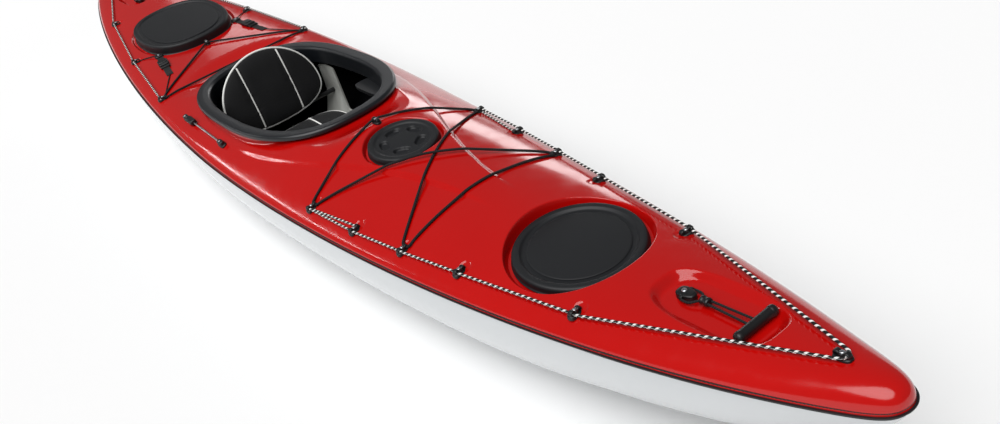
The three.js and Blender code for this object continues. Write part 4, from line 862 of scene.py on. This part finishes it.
# Places on the deck: local x along a heading, local z along the deck's normal.
def deckPlace(x, y, heading):
    height = float(deckSurface(x, y))
    normal = Vector(deckNormal(x, y))
    across = normal.cross(Vector(heading)).normalized()
    forward = across.cross(normal).normalized()
    turn = Matrix([forward, across, normal]).transposed().to_4x4()
    return Matrix.Translation((x, y, height)) @ turn


# A block from its half length, half width, low, high, oval power, top edge and count.
def roundedBlock(form, place):
    long, wide, low, high, power, edge, count = form
    middle = min(long, wide) * 0.7
    profile = [(0.8, low), (0, low + 1), (0, high - 1.5), (edge, high), (middle, high + 0.3)]
    return ovalStack(long, wide, power, rounded(profile, edge * 0.8, 4), place, count)


# Blocks side by side: each row starts with the block's x and y.
def blocks(rows, place):
    return [roundedBlock(form, shifted(place, x, y)) for x, y, *form in rows]


def joinShells(parts):
    points, faces, start = [], [], 0
    for partPoints, partFaces in parts:
        points.append(partPoints)
        faces += [tuple(i + start for i in face) for face in partFaces]
        start += len(partPoints)
    return np.concatenate(points), faces


# A ring round local x, from a closed profile of (radius, along) pairs.
def ringBody(profile, place, count, at):
    radius, run = np.array(profile).T
    rings = [np.column_stack([run, radius * c, radius * s]) + at for c, s in oval(1, 1, 2, count)]
    return moved(loft(rings, closed=True), place)


# A turned body from (radius, along) pairs, round the axis x, y or z. Its circle may be squashed.
def turnedBody(profile, place, axis, count, squash=1.0):
    rings = [np.insert(oval(radius, radius * squash, 2, count), "xyz".index(axis), run, axis=1)
             for radius, run in profile]
    return moved(loft(rings), place)


# A screw with a domed head and a cross recess, standing on local z, in shares of its radius and height.
screw = {"profile": [(1, -1.5), (1, 0.35), (0.93, 0.62), (0.8, 0.82), (0.6, 0.95), (0.56, 0.96)], "count": 32,
         "recess": 0.16, "arm": 0.38, "recessTop": 0.97, "recessFloor": 0.2}


def screwHead(radius, height, place, at):
    rings = [np.insert(oval(radius * r, radius * r, 2, screw["count"]), 2, z * height, axis=1)
             for r, z in screw["profile"]]
    circle = oval(1, 1, 2, screw["count"])
    arm = np.abs(circle[:, 0] ** 2 - circle[:, 1] ** 2) ** 6
    star = circle * radius * (screw["recess"] + screw["arm"] * arm)[:, None]
    for z in (screw["recessTop"], screw["recessFloor"]):
        rings.append(np.insert(star, 2, z * height, axis=1))
    return moved(loft(rings), shifted(place, *at))


# Fittings: an oblong base with an eye at each end, and a boss with a screw between them.
fittingSize = {"block": (9, 15.5, -3.5, 4.5, 2.8, 2.2, 40), "eye": 8, "eyeHeight": 7, "eyeCount": 26,
               "loop": [(3.5, -5), (6.2, -4), (6.2, 4), (3.5, 5)], "loopRound": 1.6,
               "boss": [(6.2, -1), (6.0, 9.0), (4.6, 10.6), (4.2, 10.4)], "bossRound": 1.2, "bossCount": 24,
               "squash": 0.8, "screw": (4.0, 2.0), "screwAt": (0, 0, 10.4)}
fittingPlaces = {}
rowPlaces = {
    "bow": {"a": (490, 244), "b": (670, 229), "c": (840, 207), "d": (1013, 181), "e": (1302, 135)},
    "stern": {"g": (-520, 252), "h": (-880, 212), "i": (-1270, 147)},
}
endPlaces = {"deck_fitting_bow": 1727, "deck_fitting_stern": -1700, "bungee_anchor_bow": 429,
             "bungee_anchor_stern": -742}


def addFitting(name, x, y, heading):
    place = deckPlace(x, y, heading)
    fittingPlaces[name] = place
    size = fittingSize
    loop = rounded(size["loop"], size["loopRound"], 3, closed=True)
    eyes = [ringBody(loop, place, size["eyeCount"], (0, sign * size["eye"], size["eyeHeight"]))
            for sign in (-1, 1)]
    bossProfile = rounded(size["boss"], size["bossRound"], 3)
    boss = turnedBody(bossProfile, place, "z", size["bossCount"], size["squash"])
    first, *rest = name.split("_")
    label = first + "".join(word.capitalize() for word in rest)
    addMesh(label, joinShells([roundedBlock(size["block"], place), *eyes, boss]), "nylon", replaces=(name,))
    addMesh(label + "Screw", screwHead(*size["screw"], place, size["screwAt"]), "steel")


for side, sign in sides.items():
    for row in rowPlaces.values():
        spots = [Vector((x, sign * y, 0)) for x, y in row.values()]
        for i, (key, spot) in enumerate(zip(row, spots)):
            before, after = spots[max(0, i - 1)], spots[min(len(spots) - 1, i + 1)]
            heading = (after - before) * math.copysign(1, after.x - before.x)
            addFitting("deck_fitting_" + key + "_" + side, spot.x, spot.y, heading)
for name, x in endPlaces.items():
    addFitting(name, x, 0.0, (0, 1, 0))
print("fittings made")


# Cords: through the eyes of the fittings, and taut over the deck between them.
cord = {"line": 2.5, "bungee": 3, "rest": 0.5, "reach": 9, "step": 5}


def through(name, eyeSide, way):
    place = fittingPlaces[name]
    eye = (eyeSide * fittingSize["eye"], fittingSize["eyeHeight"])
    return [np.array(place @ Vector((end * cord["reach"], *eye))) for end in (-way, way)]


def overDeck(start, end, radius, lift=0.0):
    span = np.linalg.norm(end - start)
    count = max(4, int(span / cord["step"]))
    share = np.linspace(0, 1, count + 1)
    run = start + share[:, None] * (end - start)
    height = deckSurface(run[:, 0], run[:, 1]) + radius + cord["rest"]
    height[1:-1] += lift * (1 - np.abs(2 * share[1:-1] - 1))
    run[1:-1, 2] = np.maximum(run[1:-1, 2], height[1:-1])
    kept = [0]
    for i in range(1, count + 1):
        kept.append(i)
        while len(kept) > 2:
            a, b, c = kept[-3:]
            line = run[a, 2] + (run[c, 2] - run[a, 2]) * (share[b] - share[a]) / (share[c] - share[a])
            if run[b, 2] > line:
                break
            kept.pop(-2)
    run[:, 2] = np.interp(share, share[kept], run[kept, 2])
    return run


def stringUp(passes, radius, lifts=()):
    route = [np.array(passes[0])]
    for i in range(1, len(passes)):
        lift = lifts[i] if i < len(lifts) else 0
        route.append(overDeck(np.array(passes[i - 1][-1]), np.array(passes[i][0]), radius, lift)[1:-1])
        route.append(np.array(passes[i]))
    return eased(even(np.concatenate(route), cord["step"]), 2)


def addDeckLine(row, end, way):
    out = [through("deck_fitting_" + key + "_starboard", -1, way) for key in row]
    back = [through("deck_fitting_" + key + "_port", 1, -way) for key in row][::-1]
    route = stringUp([*out, through("deck_fitting_" + end, -way, 1), *back], cord["line"])
    tube(end + "DeckLine", route, cord["line"], "line", replaces=(end + "_deck_line",))


addDeckLine(rowPlaces["bow"], "bow", 1)
addDeckLine(rowPlaces["stern"], "stern", -1)


# The two ends of a bungee meet inside the eye of its anchor.
def addBungee(end, eyeSide, passes, lifts=()):
    first, last = through("bungee_anchor_" + end, eyeSide, 1)
    middle = 0.5 * (first + last)
    half = np.array((0, cord["rest"] / 2, 0))
    between = [through("deck_fitting_" + name, *ways) for name, *ways in passes]
    route = stringUp([[middle - half, first], *between, [last, middle + half]], cord["bungee"], lifts)
    tube(end + "Bungee", route, cord["bungee"], "bungee", replaces=(end + "_bungee",))


addBungee("bow", 1, [("a_starboard", 1, 1), ("c_port", -1, 1), ("c_starboard", 1, -1), ("a_port", -1, -1)],
          (0, 0, 2 * cord["bungee"] + 1.5))
addBungee("stern", -1, [("g_starboard", 1, 1), ("g_port", -1, -1)])
print("cords made")


# Grab toggles: an anchor, a doubled cord with a lock, and a handle across. The handle's end is in shares of
# its radius and distances from its end, and the lock in shares of its radius and half length.
toggle = {
    "anchorFromEnd": 50, "handleFromEnd": 36, "anchor": (19, 13, 0.2, 13, 3, 4.0, 56), "taperMost": 0.3,
    "taperLong": 32, "taperFrom": 0.2, "ear": [(2.6, -3.5), (6.0, -3), (6.0, 3), (2.6, 3.5)], "earAt": 11,
    "earRound": 1.2, "cordAside": 16, "cordOut": 17, "cordBend": 22, "bendIn": 2, "bendUp": 1, "grip": 2,
    "eyeHeight": 6.5, "screw": (5.0, 2.6), "screwAt": (-4, 12.8), "handleRadius": 10, "handleLong": 88,
    "handleRound": 2.2, "handleEnd": [(0, 0), (0.55, 0), (0.9, 2), (1, 6), (1, 10), (0.93, 12)],
    "cord": 2.2, "cordStep": 2.0, "cordEase": 6, "spread": 7, "pinch": 4.5, "lockLong": 18, "lockRadius": 9,
    "lockRound": 1.2, "lockAt": 42, "lockSquash": 0.85, "lift": 0.4,
    "lockShares": [(0.5, -1), (0.85, -0.95), (1, -0.6), (0.86, -0.2), (0.86, 0.2), (1, 0.6), (0.85, 0.95),
                   (0.5, 1)],
}


def addToggle(end):
    way = 1 if end == "bow" else -1
    floor, pitch = troughPlane(trough[end])
    place = tilted(trough[end], floor, pitch)
    radius, rise = toggle["handleRadius"], toggle["eyeHeight"]
    anchorX = way * (toggle["anchorFromEnd"] - trough["long"] / 2)
    handleX = way * (trough["long"] / 2 - toggle["handleFromEnd"])
    high = radius + toggle["lift"]
    at = shifted(place, anchorX)
    anchor = roundedBlock(toggle["anchor"], Matrix.Identity(4))
    taper = smooth(way * anchor[0][:, 0] / toggle["taperLong"] + toggle["taperFrom"])
    anchor[0][:, 1] *= 1 - toggle["taperMost"] * taper
    ear = rounded(toggle["ear"], toggle["earRound"], 3, closed=True)
    ears = [ringBody(ear, at, 24, (0, sign * toggle["earAt"], rise)) for sign in (-1, 1)]
    addMesh(end + "ToggleAnchor", joinShells([moved(anchor, at), *ears]), "nylon",
            replaces=(end + "_toggle_anchor",))
    screwX, screwHigh = toggle["screwAt"]
    addMesh(end + "ToggleAnchorScrew", screwHead(*toggle["screw"], at, (way * screwX, 0, screwHigh)), "steel")

    half = toggle["handleLong"] / 2
    profile = [(radius * r, -half + d) for r, d in toggle["handleEnd"]]
    profile += [(radius * r, half - d) for r, d in toggle["handleEnd"][::-1]]
    profile = rounded(profile, toggle["handleRound"], 3)[1:-1]
    addMesh(end + "ToggleHandle", turnedBody(profile, shifted(place, handleX, 0, high), "y", 36), "nylon",
            body=end + "_toggle", replaces=(end + "_toggle_handle",))

    lockX, lockHalf = anchorX + way * toggle["lockAt"], toggle["lockLong"] / 2
    side, pinch, spread = toggle["cordAside"], toggle["pinch"], toggle["spread"]
    leg = [(anchorX, side, rise), (anchorX + way * toggle["cordOut"], side, rise),
           (anchorX + way * toggle["cordBend"], side - toggle["bendIn"], rise + toggle["bendUp"]),
           (lockX - way * lockHalf, pinch, high), (lockX + way * lockHalf, pinch, high),
           (handleX - way * (radius + toggle["grip"]), spread, high), (handleX, spread, high)]
    route = even([(x, -y, z) for x, y, z in leg[::-1]] + leg, toggle["cordStep"])
    route = eased(route, toggle["cordEase"])
    tube(end + "ToggleCord", placed(route, place), toggle["cord"], "toggleCord", body=end + "_toggle",
         replaces=(end + "_toggle_cord",), sides=12)
    profile = [(toggle["lockRadius"] * s, lockHalf * t) for s, t in toggle["lockShares"]]
    profile = rounded(profile, toggle["lockRound"], 3)
    lock = turnedBody(profile, shifted(place, lockX, 0, high), "x", 30, toggle["lockSquash"])
    addMesh(end + "CordLock", lock, "nylon", body=end + "_toggle")


for end in ("bow", "stern"):
    addToggle(end)
print("toggles made")


# Straps at the front corners of the stern hatch: a screwed lug, a webbing ribbon and a side-release buckle.
# Lanyards run from the fitting behind to the lug, and from the webbing's end to the fitting ahead.
strap = {
    "hook": (-842, 142), "tail": (-650, 173), "half": 11, "low": 0.2, "thick": 1.8, "round": 0.8, "rings": 60,
    "rise": 4.5, "riseReach": 0.17, "ripple": 0.5, "ripples": 23, "lugAt": 0.09,
    "lug": (14, 15, -3, 7, 3, 2.8, 40), "screw": (4.0, 2.0), "screwAt": (0, 0, 7), "buckleAt": 0.52,
    "buckle": [(-16.5, 0, 15, 17, 1.2, 11, 4, 2.5, 48), (9, 0, 7.5, 17, 1.2, 11, 4, 2.5, 48),
               (0, -14, 12, 3.2, 3, 9, 3, 1.5, 28), (23, -13, 8, 2.2, 2, 8, 3, 1.0, 24),
               (0, 14, 12, 3.2, 3, 9, 3, 1.5, 28), (23, 13, 8, 2.2, 2, 8, 3, 1.0, 24),
               (30, 0, 2.4, 16, 2, 8, 4, 1.2, 28)],
    "lanyard": 1.7, "lanyardEye": (0, -8, 2.6), "lanyards": {"Aft": ("h", 0.09, 5.5), "Fore": ("g", 0.99, 1)},
}


def addStrap(side, sign):
    hook, tail = (np.array((x, sign * y), float) for x, y in (strap["hook"], strap["tail"]))
    label = side.capitalize()

    def onStrap(share):
        return deckPlace(*(hook + share * (tail - hook)), (*(tail - hook), 0))

    half, low, high = strap["half"], strap["low"], strap["thick"]
    section = [(-half, low), (half, low), (half, high), (-half, high)]
    section = rounded(section, strap["round"], 3, closed=True)
    rings = []
    for share in np.linspace(0, 1, strap["rings"]):
        lift = strap["rise"] * math.exp(-((share - strap["buckleAt"]) / strap["riseReach"]) ** 4)
        lift += max(0, strap["ripple"] * math.sin(share * strap["ripples"] + sign))
        rings.append(placed([(0, y, z + lift) for y, z in section], onStrap(float(share))))
    addMesh("hatchStrapWebbing" + label, loft(rings), "webbing", replaces=("hatch_strap_" + side,), sharp=50)

    lugPlace = onStrap(strap["lugAt"])
    parts = [*blocks(strap["buckle"], onStrap(strap["buckleAt"])), roundedBlock(strap["lug"], lugPlace)]
    addMesh("hatchStrapBuckle" + label, joinShells(parts), "nylon")
    addMesh("hatchStrapScrew" + label, screwHead(*strap["screw"], lugPlace, strap["screwAt"]), "steel")

    radius = strap["lanyard"]
    for part, (key, share, lift) in strap["lanyards"].items():
        x, y, z = strap["lanyardEye"]
        eye = fittingPlaces["deck_fitting_" + key + "_" + side] @ Vector((x, sign * y, z))
        end = onStrap(share) @ Vector((0, 0, radius + lift))
        route = eased(even(overDeck(np.array(eye), np.array(end), radius), 4), 2)
        tube("strapLanyard" + part + label, route, radius, "bungee", sides=10)


for side, sign in sides.items():
    addStrap(side, sign)


# The skeg's slider: two fairleads with a steel rod between them, and a ribbed knob on the rod. In leads and
# rodTo, a place below zero is measured from the fore end.
slider = {"aft": -316, "fore": -20, "y": -252, "leads": ((14, 17), (-16, 19)),
          "foot": (9.5, -3, 5, 3.2, 2.0, 48), "top": (7.5, 0, 15, 3.2, 3.5, 44), "topInset": 5,
          "screw": (3.4, 1.6), "high": 15, "rod": 2.5, "rodHeight": 9, "rodFrom": 12, "rodTo": -14}
knob = {"at": 56, "half": 22, "halfWide": 10, "low": 1.5, "high": 18, "power": 3.2, "fit": 0.5,
        "endShrink": 0.22, "ribShrink": 0.05, "ribsWithin": 0.62, "rings": 41, "count": 40}


def addSlider():
    y = slider["y"]
    aft, fore = (np.array((x, y, float(deckSurface(x, y)))) for x in (slider["aft"], slider["fore"]))
    normal = Vector(deckNormal(aft[0], y) + deckNormal(fore[0], y))
    run = Vector(fore - aft)
    across, forward = normal.cross(run).normalized(), run.normalized()
    turn = Matrix([forward, across, forward.cross(across)]).transposed().to_4x4()
    place = Matrix.Translation(aft) @ turn
    leads = [(x % run.length, long) for x, long in slider["leads"]]
    rows = []
    for x, long in leads:
        rows += [(x, 0, long, *slider["foot"]), (x, 0, long - slider["topInset"], *slider["top"])]
    addMesh("skegSliderFairleads", joinShells(blocks(rows, place)), "nylon", replaces=("skeg_slider_track",))
    heads = [screwHead(*slider["screw"], place, (x, 0, slider["high"])) for x, _ in leads]
    addMesh("skegSliderScrews", joinShells(heads), "steel")
    route = [place @ Vector((x, 0, slider["rodHeight"]))
             for x in np.linspace(slider["rodFrom"], run.length + slider["rodTo"], 30)]
    tube("skegSliderRod", route, slider["rod"], "steel", sides=20)

    # The knob: a ribbed outside and a bore, joined at both ends.
    low, high, count = knob["low"], knob["high"], knob["count"]
    outline = oval(knob["halfWide"], (high - low) / 2, knob["power"], count)
    rings = []
    steps = (knob["rings"] - 1) // 2
    for share in np.linspace(-1, 1, knob["rings"]):
        ribbed = abs(share) < knob["ribsWithin"] and int((share + 1) * steps) % 4 < 2
        shrink = 1 - knob["endShrink"] * abs(share) ** 8 - ribbed * knob["ribShrink"]
        rings.append(np.insert(outline * shrink + (0, (low + high) / 2), 0, share * knob["half"], axis=1))
    bore = slider["rod"] + knob["fit"]
    for share in (1, 0, -1):
        circle = oval(bore, bore, 2, count) + (0, slider["rodHeight"])
        rings.append(np.insert(circle, 0, share * knob["half"], axis=1))
    shape = moved(loft(rings, closed=True), shifted(place, knob["at"]))
    addMesh("skegSliderKnob", shape, "nylon", body="knob", replaces=("skeg_knob",), sharp=50)


addSlider()


# A second strand of the bow line beside the first, from the first fitting to the second.
strand = [("a", 13, 2.6, 3.2), ("b", -6, -8, 7)]
for side, sign in sides.items():
    start, end = (fittingPlaces["deck_fitting_" + key + "_" + side] @ Vector((x, sign * y, z))
                  for key, x, y, z in strand)
    route = eased(even(overDeck(np.array(start), np.array(end), cord["line"]), cord["step"]), 2)
    tube("bowLineSecondStrand" + side.capitalize(), route, cord["line"], "line")
print("straps and slider made")


# Seat pan: a bucket whose sides rise towards the back, rolled at the rim.
seat = {"front": 120, "back": -300, "halfWidth": 195, "wall": 5, "floor": 40, "rearSide": 200, "frontSide": 62,
        "foot": 40, "flare": 15, "wingFrom": 0.165, "wingFade": 0.055, "wingRings": (0.16, 0.23, 25),
        "rings": 60, "bench": 0.86, "knee": 0.45, "base": 4.3, "corner": 0.06, "tuck": 0.06, "round": 14}


def seatPan():
    rings = []
    for share in np.unique([*np.linspace(0, 1, seat["rings"]), *np.linspace(*seat["wingRings"])]):
        x = seat["back"] + (seat["front"] - seat["back"]) * share
        fall = float(smooth((share - seat["wingFrom"]) / seat["wingFade"]))
        top = seat["rearSide"] + (seat["frontSide"] - seat["rearSide"]) * fall
        wall, floor = seat["wall"], seat["floor"]
        side = seat["halfWidth"] * (1 - seat["tuck"] * max(0, 1 - share / seat["corner"]) ** 2)
        knee = floor + (top - floor) * seat["knee"]
        bench = seat["bench"] * side
        under = [(0, seat["base"]), (seat["foot"], seat["base"]), (seat["foot"] + seat["flare"], floor - wall),
                 (bench, floor - wall), (side, knee), (side, top)]
        over = [(side - wall, top), (side - wall, knee), (bench - wall, floor), (0, floor)]
        half = rounded([*under, *over], seat["round"], 5)
        rest = [(-y, z) for y, z in half[::-1]][1:-1]
        rings.append([(x, y, z) for y, z in [*half, *rest]])
    return loft(rings)


addMesh("seatMoulding", seatPan(), "grey", replaces=("seat_pan",), sharp=40)


# Pads: an outline, a base, a side band with piping, and a face that puffs up between its seams.
def ripple(x, y, seed):
    total = np.zeros_like(x)
    for i in range(1, 6):
        a = seed * 1.7 + i * 2.399
        pitch = 0.03 + 0.018 * i
        total += np.sin(x * math.cos(a) * pitch + y * math.sin(a) * pitch + a * i) / i
    return total


# How far the face stands up at a share of the way out, and how much of the seams' groove a place has.
def puff(share, y, look):
    swell = (1 - share ** look["soften"]) ** look["roundness"]
    seamAway = np.min([np.abs(y - s) for s in look["seams"]], axis=0)
    groove = np.exp(-(seamAway / look["seamWidth"]) ** 2)
    panels = 1 - look["seamDepth"] * groove
    return look["edge"] + (look["thick"] - look["edge"]) * swell * panels, swell, groove


padShares = {
    "base": (0.6, 0.9, 0.965, 0.99), "baseRise": 0.04, "band": (0.12, 1, 7),
    "face": (0.992, 0.98, 0.96, 0.93, 0.89, 0.84, 0.78, 0.71, 0.63, 0.54, 0.45, 0.36, 0.27, 0.18, 0.09),
}


def padBody(edgePoints, centre, look):
    middle = edgePoints - centre
    rows = [(share, 0.0) for share in padShares["base"][:-1]]
    rows.append((padShares["base"][-1], padShares["baseRise"] * look["thick"]))
    for s in np.linspace(*padShares["band"]):
        rows.append((1 + look["bulge"] * math.sin(math.pi * s), look["edge"] * s))
    rings = [np.insert(centre + middle * share, 2, height, axis=1) for share, height in rows]
    for share in padShares["face"]:
        flat = centre + middle * share
        height, swell, groove = puff(share, flat[:, 1], look)
        height += look["crease"] * swell * ripple(flat[:, 0], flat[:, 1], look["seed"]) * (1 - groove)
        rings.append(np.column_stack([flat, height]))
    return loft(rings)


def padFace(flat, edgePoints, centre, look):
    away = flat - centre
    angle = math.atan2(away[1], away[0])
    angles = np.arctan2(*(edgePoints - centre).T[::-1])
    order = np.argsort(angles)
    reach = np.interp(angle, angles[order], np.hypot(*(edgePoints - centre).T)[order], period=2 * math.pi)
    return float(puff(min(1.0, math.hypot(*away) / reach), flat[1], look)[0])


def addPad(name, edgePoints, centre, look, place, body, node):
    centre = np.array(centre, float)
    shape = moved(padBody(edgePoints, centre, look), place)
    pad = addMesh(name, shape, "fabric", body=body, replaces=(node,), sharp=None)
    smoothing = pad.modifiers.new("smooth", "SUBSURF")
    smoothing.levels = smoothing.render_levels = 1
    ring = np.insert(centre + (edgePoints - centre) * look["pipingOut"], 2, look["edge"] + look["pipingRise"],
                     axis=1)
    tube(name + "Piping", placed(ring, place), look["piping"], "piping", body=body, sides=10, closed=True)
    for i, seam in enumerate(look["seams"]):
        spans = [p[0] for p in edgePoints if abs(p[1] - seam) < look["pick"]]
        xs = np.linspace(min(spans) + look["seamInset"], max(spans) - look["seamInset"], look["seamCount"])
        flats = [np.array((x, seam)) for x in xs]
        route = [(*flat, padFace(flat, edgePoints, centre, look) + look["seamRise"]) for flat in flats]
        tube(name + "SeamPiping" + str(i), placed(route, place), look["seamPiping"], "piping", body=body,
             sides=8)


padLook = {"bulge": 0.012, "seams": (-66, 66), "piping": 3.2, "pipingOut": 1.004, "pipingRise": 0.4,
           "seamPiping": 2.56, "seamRise": 1.2, "seamInset": 5, "seamCount": 46, "pick": 4}
cushionLook = {**padLook, "thick": 57, "edge": 37.5, "soften": 2.6, "roundness": 0.42, "seamWidth": 8,
               "seamDepth": 0.3, "crease": 1.2, "seed": 1}
cushionEdge = oval(157, 158, 4.2, 170) + (-85, 0)
addPad("seatCushionPad", cushionEdge, (-85, 0), cushionLook, Matrix.Translation((0, 0, 40.3)), "root",
       "seat_cushion")

backrest = {"x": -229, "bottom": 118, "widest": 190, "top": 330, "halfWidth": 155, "thick": 34, "lean": 0.245}
leanAngle = math.atan(backrest["lean"])
backUp = Vector((-math.sin(leanAngle), 0, math.cos(leanAngle)))
backOut = Vector((math.cos(leanAngle), 0, math.sin(leanAngle)))
backTurn = Matrix([backUp, (0, -1, 0), backOut]).transposed().to_4x4()
backPlace = Matrix.Translation((backrest["x"], 0, backrest["bottom"])) @ backTurn
backLook = {**padLook, "thick": backrest["thick"], "edge": 14, "soften": 2.4, "roundness": 0.45,
            "seamWidth": 7, "seamDepth": 0.32, "crease": 0.7, "seed": 3}


def backEdge(count):
    slope = 1 / math.cos(leanAngle)
    waist = (backrest["widest"] - backrest["bottom"]) * slope
    over = (backrest["top"] - backrest["widest"]) * slope
    edge = []
    for angle in np.arange(count) / count * 2 * np.pi:
        c, s = math.cos(angle), math.sin(angle)
        power = 2.0 if s > 0 else 2.5
        y = backrest["halfWidth"] * math.copysign(abs(c) ** (2 / power), c)
        up = over * abs(s) ** (2 / power) if s > 0 else -waist * abs(s) ** (2 / power)
        edge.append((waist + up, y))
    return np.array(edge)


addPad("backrestPad", backEdge(170), (85, 0), backLook, shifted(backPlace, z=-backrest["thick"]), "backrest",
       "backrest_cushion")
print("seat and backrest made")


# Materials for the CAD pieces that stay.
kept = {
    "inner": ("bow_bulkhead", "stern_bulkhead", "skeg_box"),
    "nylon": ("bow_hatch_rim", "stern_hatch_rim", "day_hatch_rim", "day_pod", "backrest_frame",
              "thigh_brace_port", "thigh_brace_starboard", "foot_rail_port", "foot_rail_starboard",
              "foot_pedal_port", "foot_pedal_starboard", "skeg_cable", "skeg_blade"),
}
for look, names in kept.items():
    for name in names:
        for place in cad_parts[name].material_slots:
            place.material = finish[look]


# Studio, in metres: a pale floor that runs to the horizon, soft boxes, a sun for the ceiling and a pale sky.
def addFloor(half):
    mesh = bpy.data.meshes.new("floor")
    corners = [(-half, -half, 0), (half, -half, 0), (half, half, 0), (-half, half, 0)]
    mesh.from_pydata(corners, [], [(0, 1, 2, 3)])
    mesh.materials.append(startMaterial("studioFloor", "#f2f2f2", {"Roughness": 0.9})[0])
    piece = bpy.data.objects.new("floor", mesh)
    scene.collection.objects.link(piece)


addFloor(400)

scene.view_settings.view_transform = "Standard"
world = bpy.data.worlds.new("studio")
scene.world = world
world.use_nodes = True
background = world.node_tree.nodes["Background"].inputs
background[0].default_value = (1, 1, 1, 1)
background[1].default_value = 0.16


def addLamp(name, kind, place, aim, settings):
    data = bpy.data.lights.new(name, kind)
    for key, value in settings.items():
        setattr(data, key, value)
    lamp = bpy.data.objects.new(name, data)
    lamp.location = place
    lamp.rotation_euler = (Vector(aim) - Vector(place)).to_track_quat("-Z", "Y").to_euler()
    scene.collection.objects.link(lamp)


addLamp("ceilingLight", "SUN", (1.2, -4.0, 8), (0, 0, 0), {"energy": 3.25, "angle": math.radians(62)})
softBoxes = [
    ("shoulderStrip", (-5.4, -3.4, 2.6), (0, 0, 0.2), 3.0, 0.09, 18),
    ("sternBox", (-6.2, 2.6, 2.6), (-0.4, 0, 0.3), 2.4, 0.5, 7),
    ("flankBox", (-4.6, 4.6, 1.1), (0.4, 0, 0.3), 2.6, 0.9, 26),
]
for name, place, aim, wide, high, power in softBoxes:
    addLamp(name, "AREA", place, aim, {"shape": "RECTANGLE", "size": wide, "size_y": high, "energy": power})
print("studio made")
